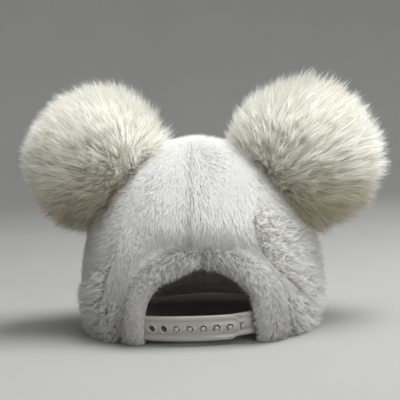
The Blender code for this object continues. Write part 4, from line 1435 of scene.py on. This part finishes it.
class CAP_OT_strap(bpy.types.Operator):
    """Snap strap: the outer piece with holes over the inner piece with pegs"""

    bl_idname = "cap.strap"
    bl_label = "Snap strap"

    def execute(self, context):
        outer = STRAP_GAP + STRAP_THICKNESS
        inner = outer + STRAP_GAP + STRAP_THICKNESS
        root = ARCH_HALF_WIDTH + STRAP_SEWN_LENGTH
        holes = [FIRST_SNAP + SNAP_PITCH * index for index in range(SNAP_COUNT)]
        shift = (SNAP_COUNT - SNAPS_CLOSED) * SNAP_PITCH
        pegs = [place - shift for place in holes]

        left = strap_body("strap_left_band", holes[0] - NOSE_PAST_SNAP, root, STRAP_WIDTH, 0.0, outer)
        drill(left, hole_cutter(holes))
        plate = STRAP_GAP + PLATE_DEPTH
        collar = [(HOLE_RADIUS + beyond * MM, plate + below * MM) for beyond, below in COLLAR]
        collars = snap_lathe("strap_left_collars", holes, 0.0, collar)

        nose = pegs[-1] + NOSE_PAST_SNAP
        right = strap_body("strap_right_band", nose, -root, PEG_STRAP_WIDTH, PEG_STRAP_CLIMB, inner)
        peg = peg_profile(inner - STRAP_THICKNESS + PEG_SUNK_FOOT, STRAP_GAP - PEG_STAND_OUT)
        heads = snap_lathe("strap_right_pegs", pegs, PEG_STRAP_CLIMB, peg)

        for obj, node in ((left, "strap_left"), (collars, "strap_left"),
                          (right, "strap_right"), (heads, "strap_right")):
            dress(context, obj, "moulded_milky_polyethylene", node)
        return {"FINISHED"}


def add_area_light(name, place, aim, power):
    """A square light at a place, turned towards what it is aimed at."""
    data = bpy.data.lights.new(name, "AREA")
    data.shape = "SQUARE"
    data.size = LIGHT_SIZE
    data.energy = power
    data.color = LIGHT_COLOUR
    lamp = bpy.data.objects.new(name, data)
    bpy.context.scene.collection.objects.link(lamp)
    lamp.location = place
    lamp.rotation_euler = (Vector(aim) - Vector(place)).to_track_quat("-Z", "Y").to_euler()


def add_sweep(context):
    """Floor, bend and wall: a profile turned round the upright axis, closed by an under side
    that lies a thickness lower and further out. The bend is a quarter circle."""
    turn = np.linspace(0.0, math.pi / 2, STAGE_BEND_STEPS)
    reach = np.append(STAGE_RADIUS - STAGE_BEND * (1.0 - np.sin(turn)), STAGE_RADIUS)
    level = np.append(STAGE_BEND * (1.0 - np.cos(turn)), STAGE_WALL)
    top = np.stack([np.insert(reach, 0, 0.0), np.insert(level, 0, 0.0)], axis=-1)
    below = top * (1.0 + STAGE_THICKNESS / STAGE_RADIUS, 1.0) - (0.0, STAGE_THICKNESS)
    profile = np.concatenate([below, top[::-1]])
    profile[:, 0] = np.maximum(profile[:, 0], STAGE_POLE)
    round_it = np.linspace(0.0, FULL_TURN, STAGE_SIDES + 1)[:-1]
    wide = profile[:, :1] * np.stack([np.cos(round_it), np.sin(round_it)])[:, None, :]
    rings = np.stack([wide[0], wide[1], np.broadcast_to(profile[:, 1:], wide[0].shape)], axis=-1)
    loops = turned_faces(len(profile), STAGE_SIDES)
    sweep = add_object("sweep", rings.reshape(-1, 3), loops, np.full(len(loops) // 4, 4))
    sweep.data.materials.append(material_of(context, "paper_sweep"))


def add_room(scene):
    """Even light from all sides, and the lights of the table."""
    scene.world = bpy.data.worlds.new("soft_room")
    scene.world.use_nodes = True
    background = scene.world.node_tree.nodes["Background"]
    background.inputs["Color"].default_value = hex_colour(ROOM_COLOUR)
    background.inputs["Strength"].default_value = ROOM_STRENGTH
    for light in LIGHTS:
        add_area_light(*light)


def add_camera(scene):
    """The camera looks along -Y, pitched down and rolled as the photograph is."""
    data = bpy.data.cameras.new("camera")
    data.lens = CAMERA_LENS_MM
    data.sensor_width = CAMERA_SENSOR_MM
    camera = bpy.data.objects.new("camera", data)
    scene.collection.objects.link(camera)
    camera.location = CAMERA_PLACE
    yaw = Matrix.Rotation(math.pi, 3, "Z")
    pitch = Matrix.Rotation(math.pi / 2 - CAMERA_PITCH, 3, "X")
    camera.rotation_euler = (yaw @ pitch @ Matrix.Rotation(-CAMERA_ROLL, 3, "Z")).to_euler()
    scene.camera = camera


class CAP_OT_stage(bpy.types.Operator):
    """Pale sweep, soft light from above and the camera"""

    bl_idname = "cap.stage"
    bl_label = "Stage"

    def execute(self, context):
        add_sweep(context)
        add_room(context.scene)
        add_camera(context.scene)
        context.scene.view_settings.view_transform = "Standard"
        return {"FINISHED"}


class CAP_PT_panel(bpy.types.Panel):
    """Lists the cap's sizes, colours and building steps"""

    bl_idname = "CAP_PT_panel"
    bl_label = "Plush Cap"
    bl_space_type = "VIEW_3D"
    bl_region_type = "UI"
    bl_category = "Plush Cap"

    def draw(self, context):
        layout = self.layout
        for group in (context.scene.cap_sizes, context.scene.cap_strands, context.scene.cap_colours):
            box = layout.box()
            for key in group.__annotations__:
                box.prop(group, key)
        for operator in OPERATORS:
            layout.operator(operator.bl_idname)


OPERATORS = (CAP_OT_crown, CAP_OT_hem, CAP_OT_brim, CAP_OT_pompoms, CAP_OT_strap, CAP_OT_stage)
CLASSES = (CapSizes, CapStrands, CapColours, *OPERATORS, CAP_PT_panel)


def register():
    for cls in CLASSES:
        bpy.utils.register_class(cls)
    bpy.types.Scene.cap_sizes = bpy.props.PointerProperty(type=CapSizes)
    bpy.types.Scene.cap_strands = bpy.props.PointerProperty(type=CapStrands)
    bpy.types.Scene.cap_colours = bpy.props.PointerProperty(type=CapColours)


def unregister():
    del bpy.types.Scene.cap_colours
    del bpy.types.Scene.cap_strands
    del bpy.types.Scene.cap_sizes
    for cls in reversed(CLASSES):
        bpy.utils.unregister_class(cls)


def main():
    register()
    bpy.ops.cap.crown()
    bpy.ops.cap.hem()
    bpy.ops.cap.brim()
    bpy.ops.cap.pompoms()
    bpy.ops.cap.strap()
    bpy.ops.cap.stage()


if __name__ == "__main__":
    main()
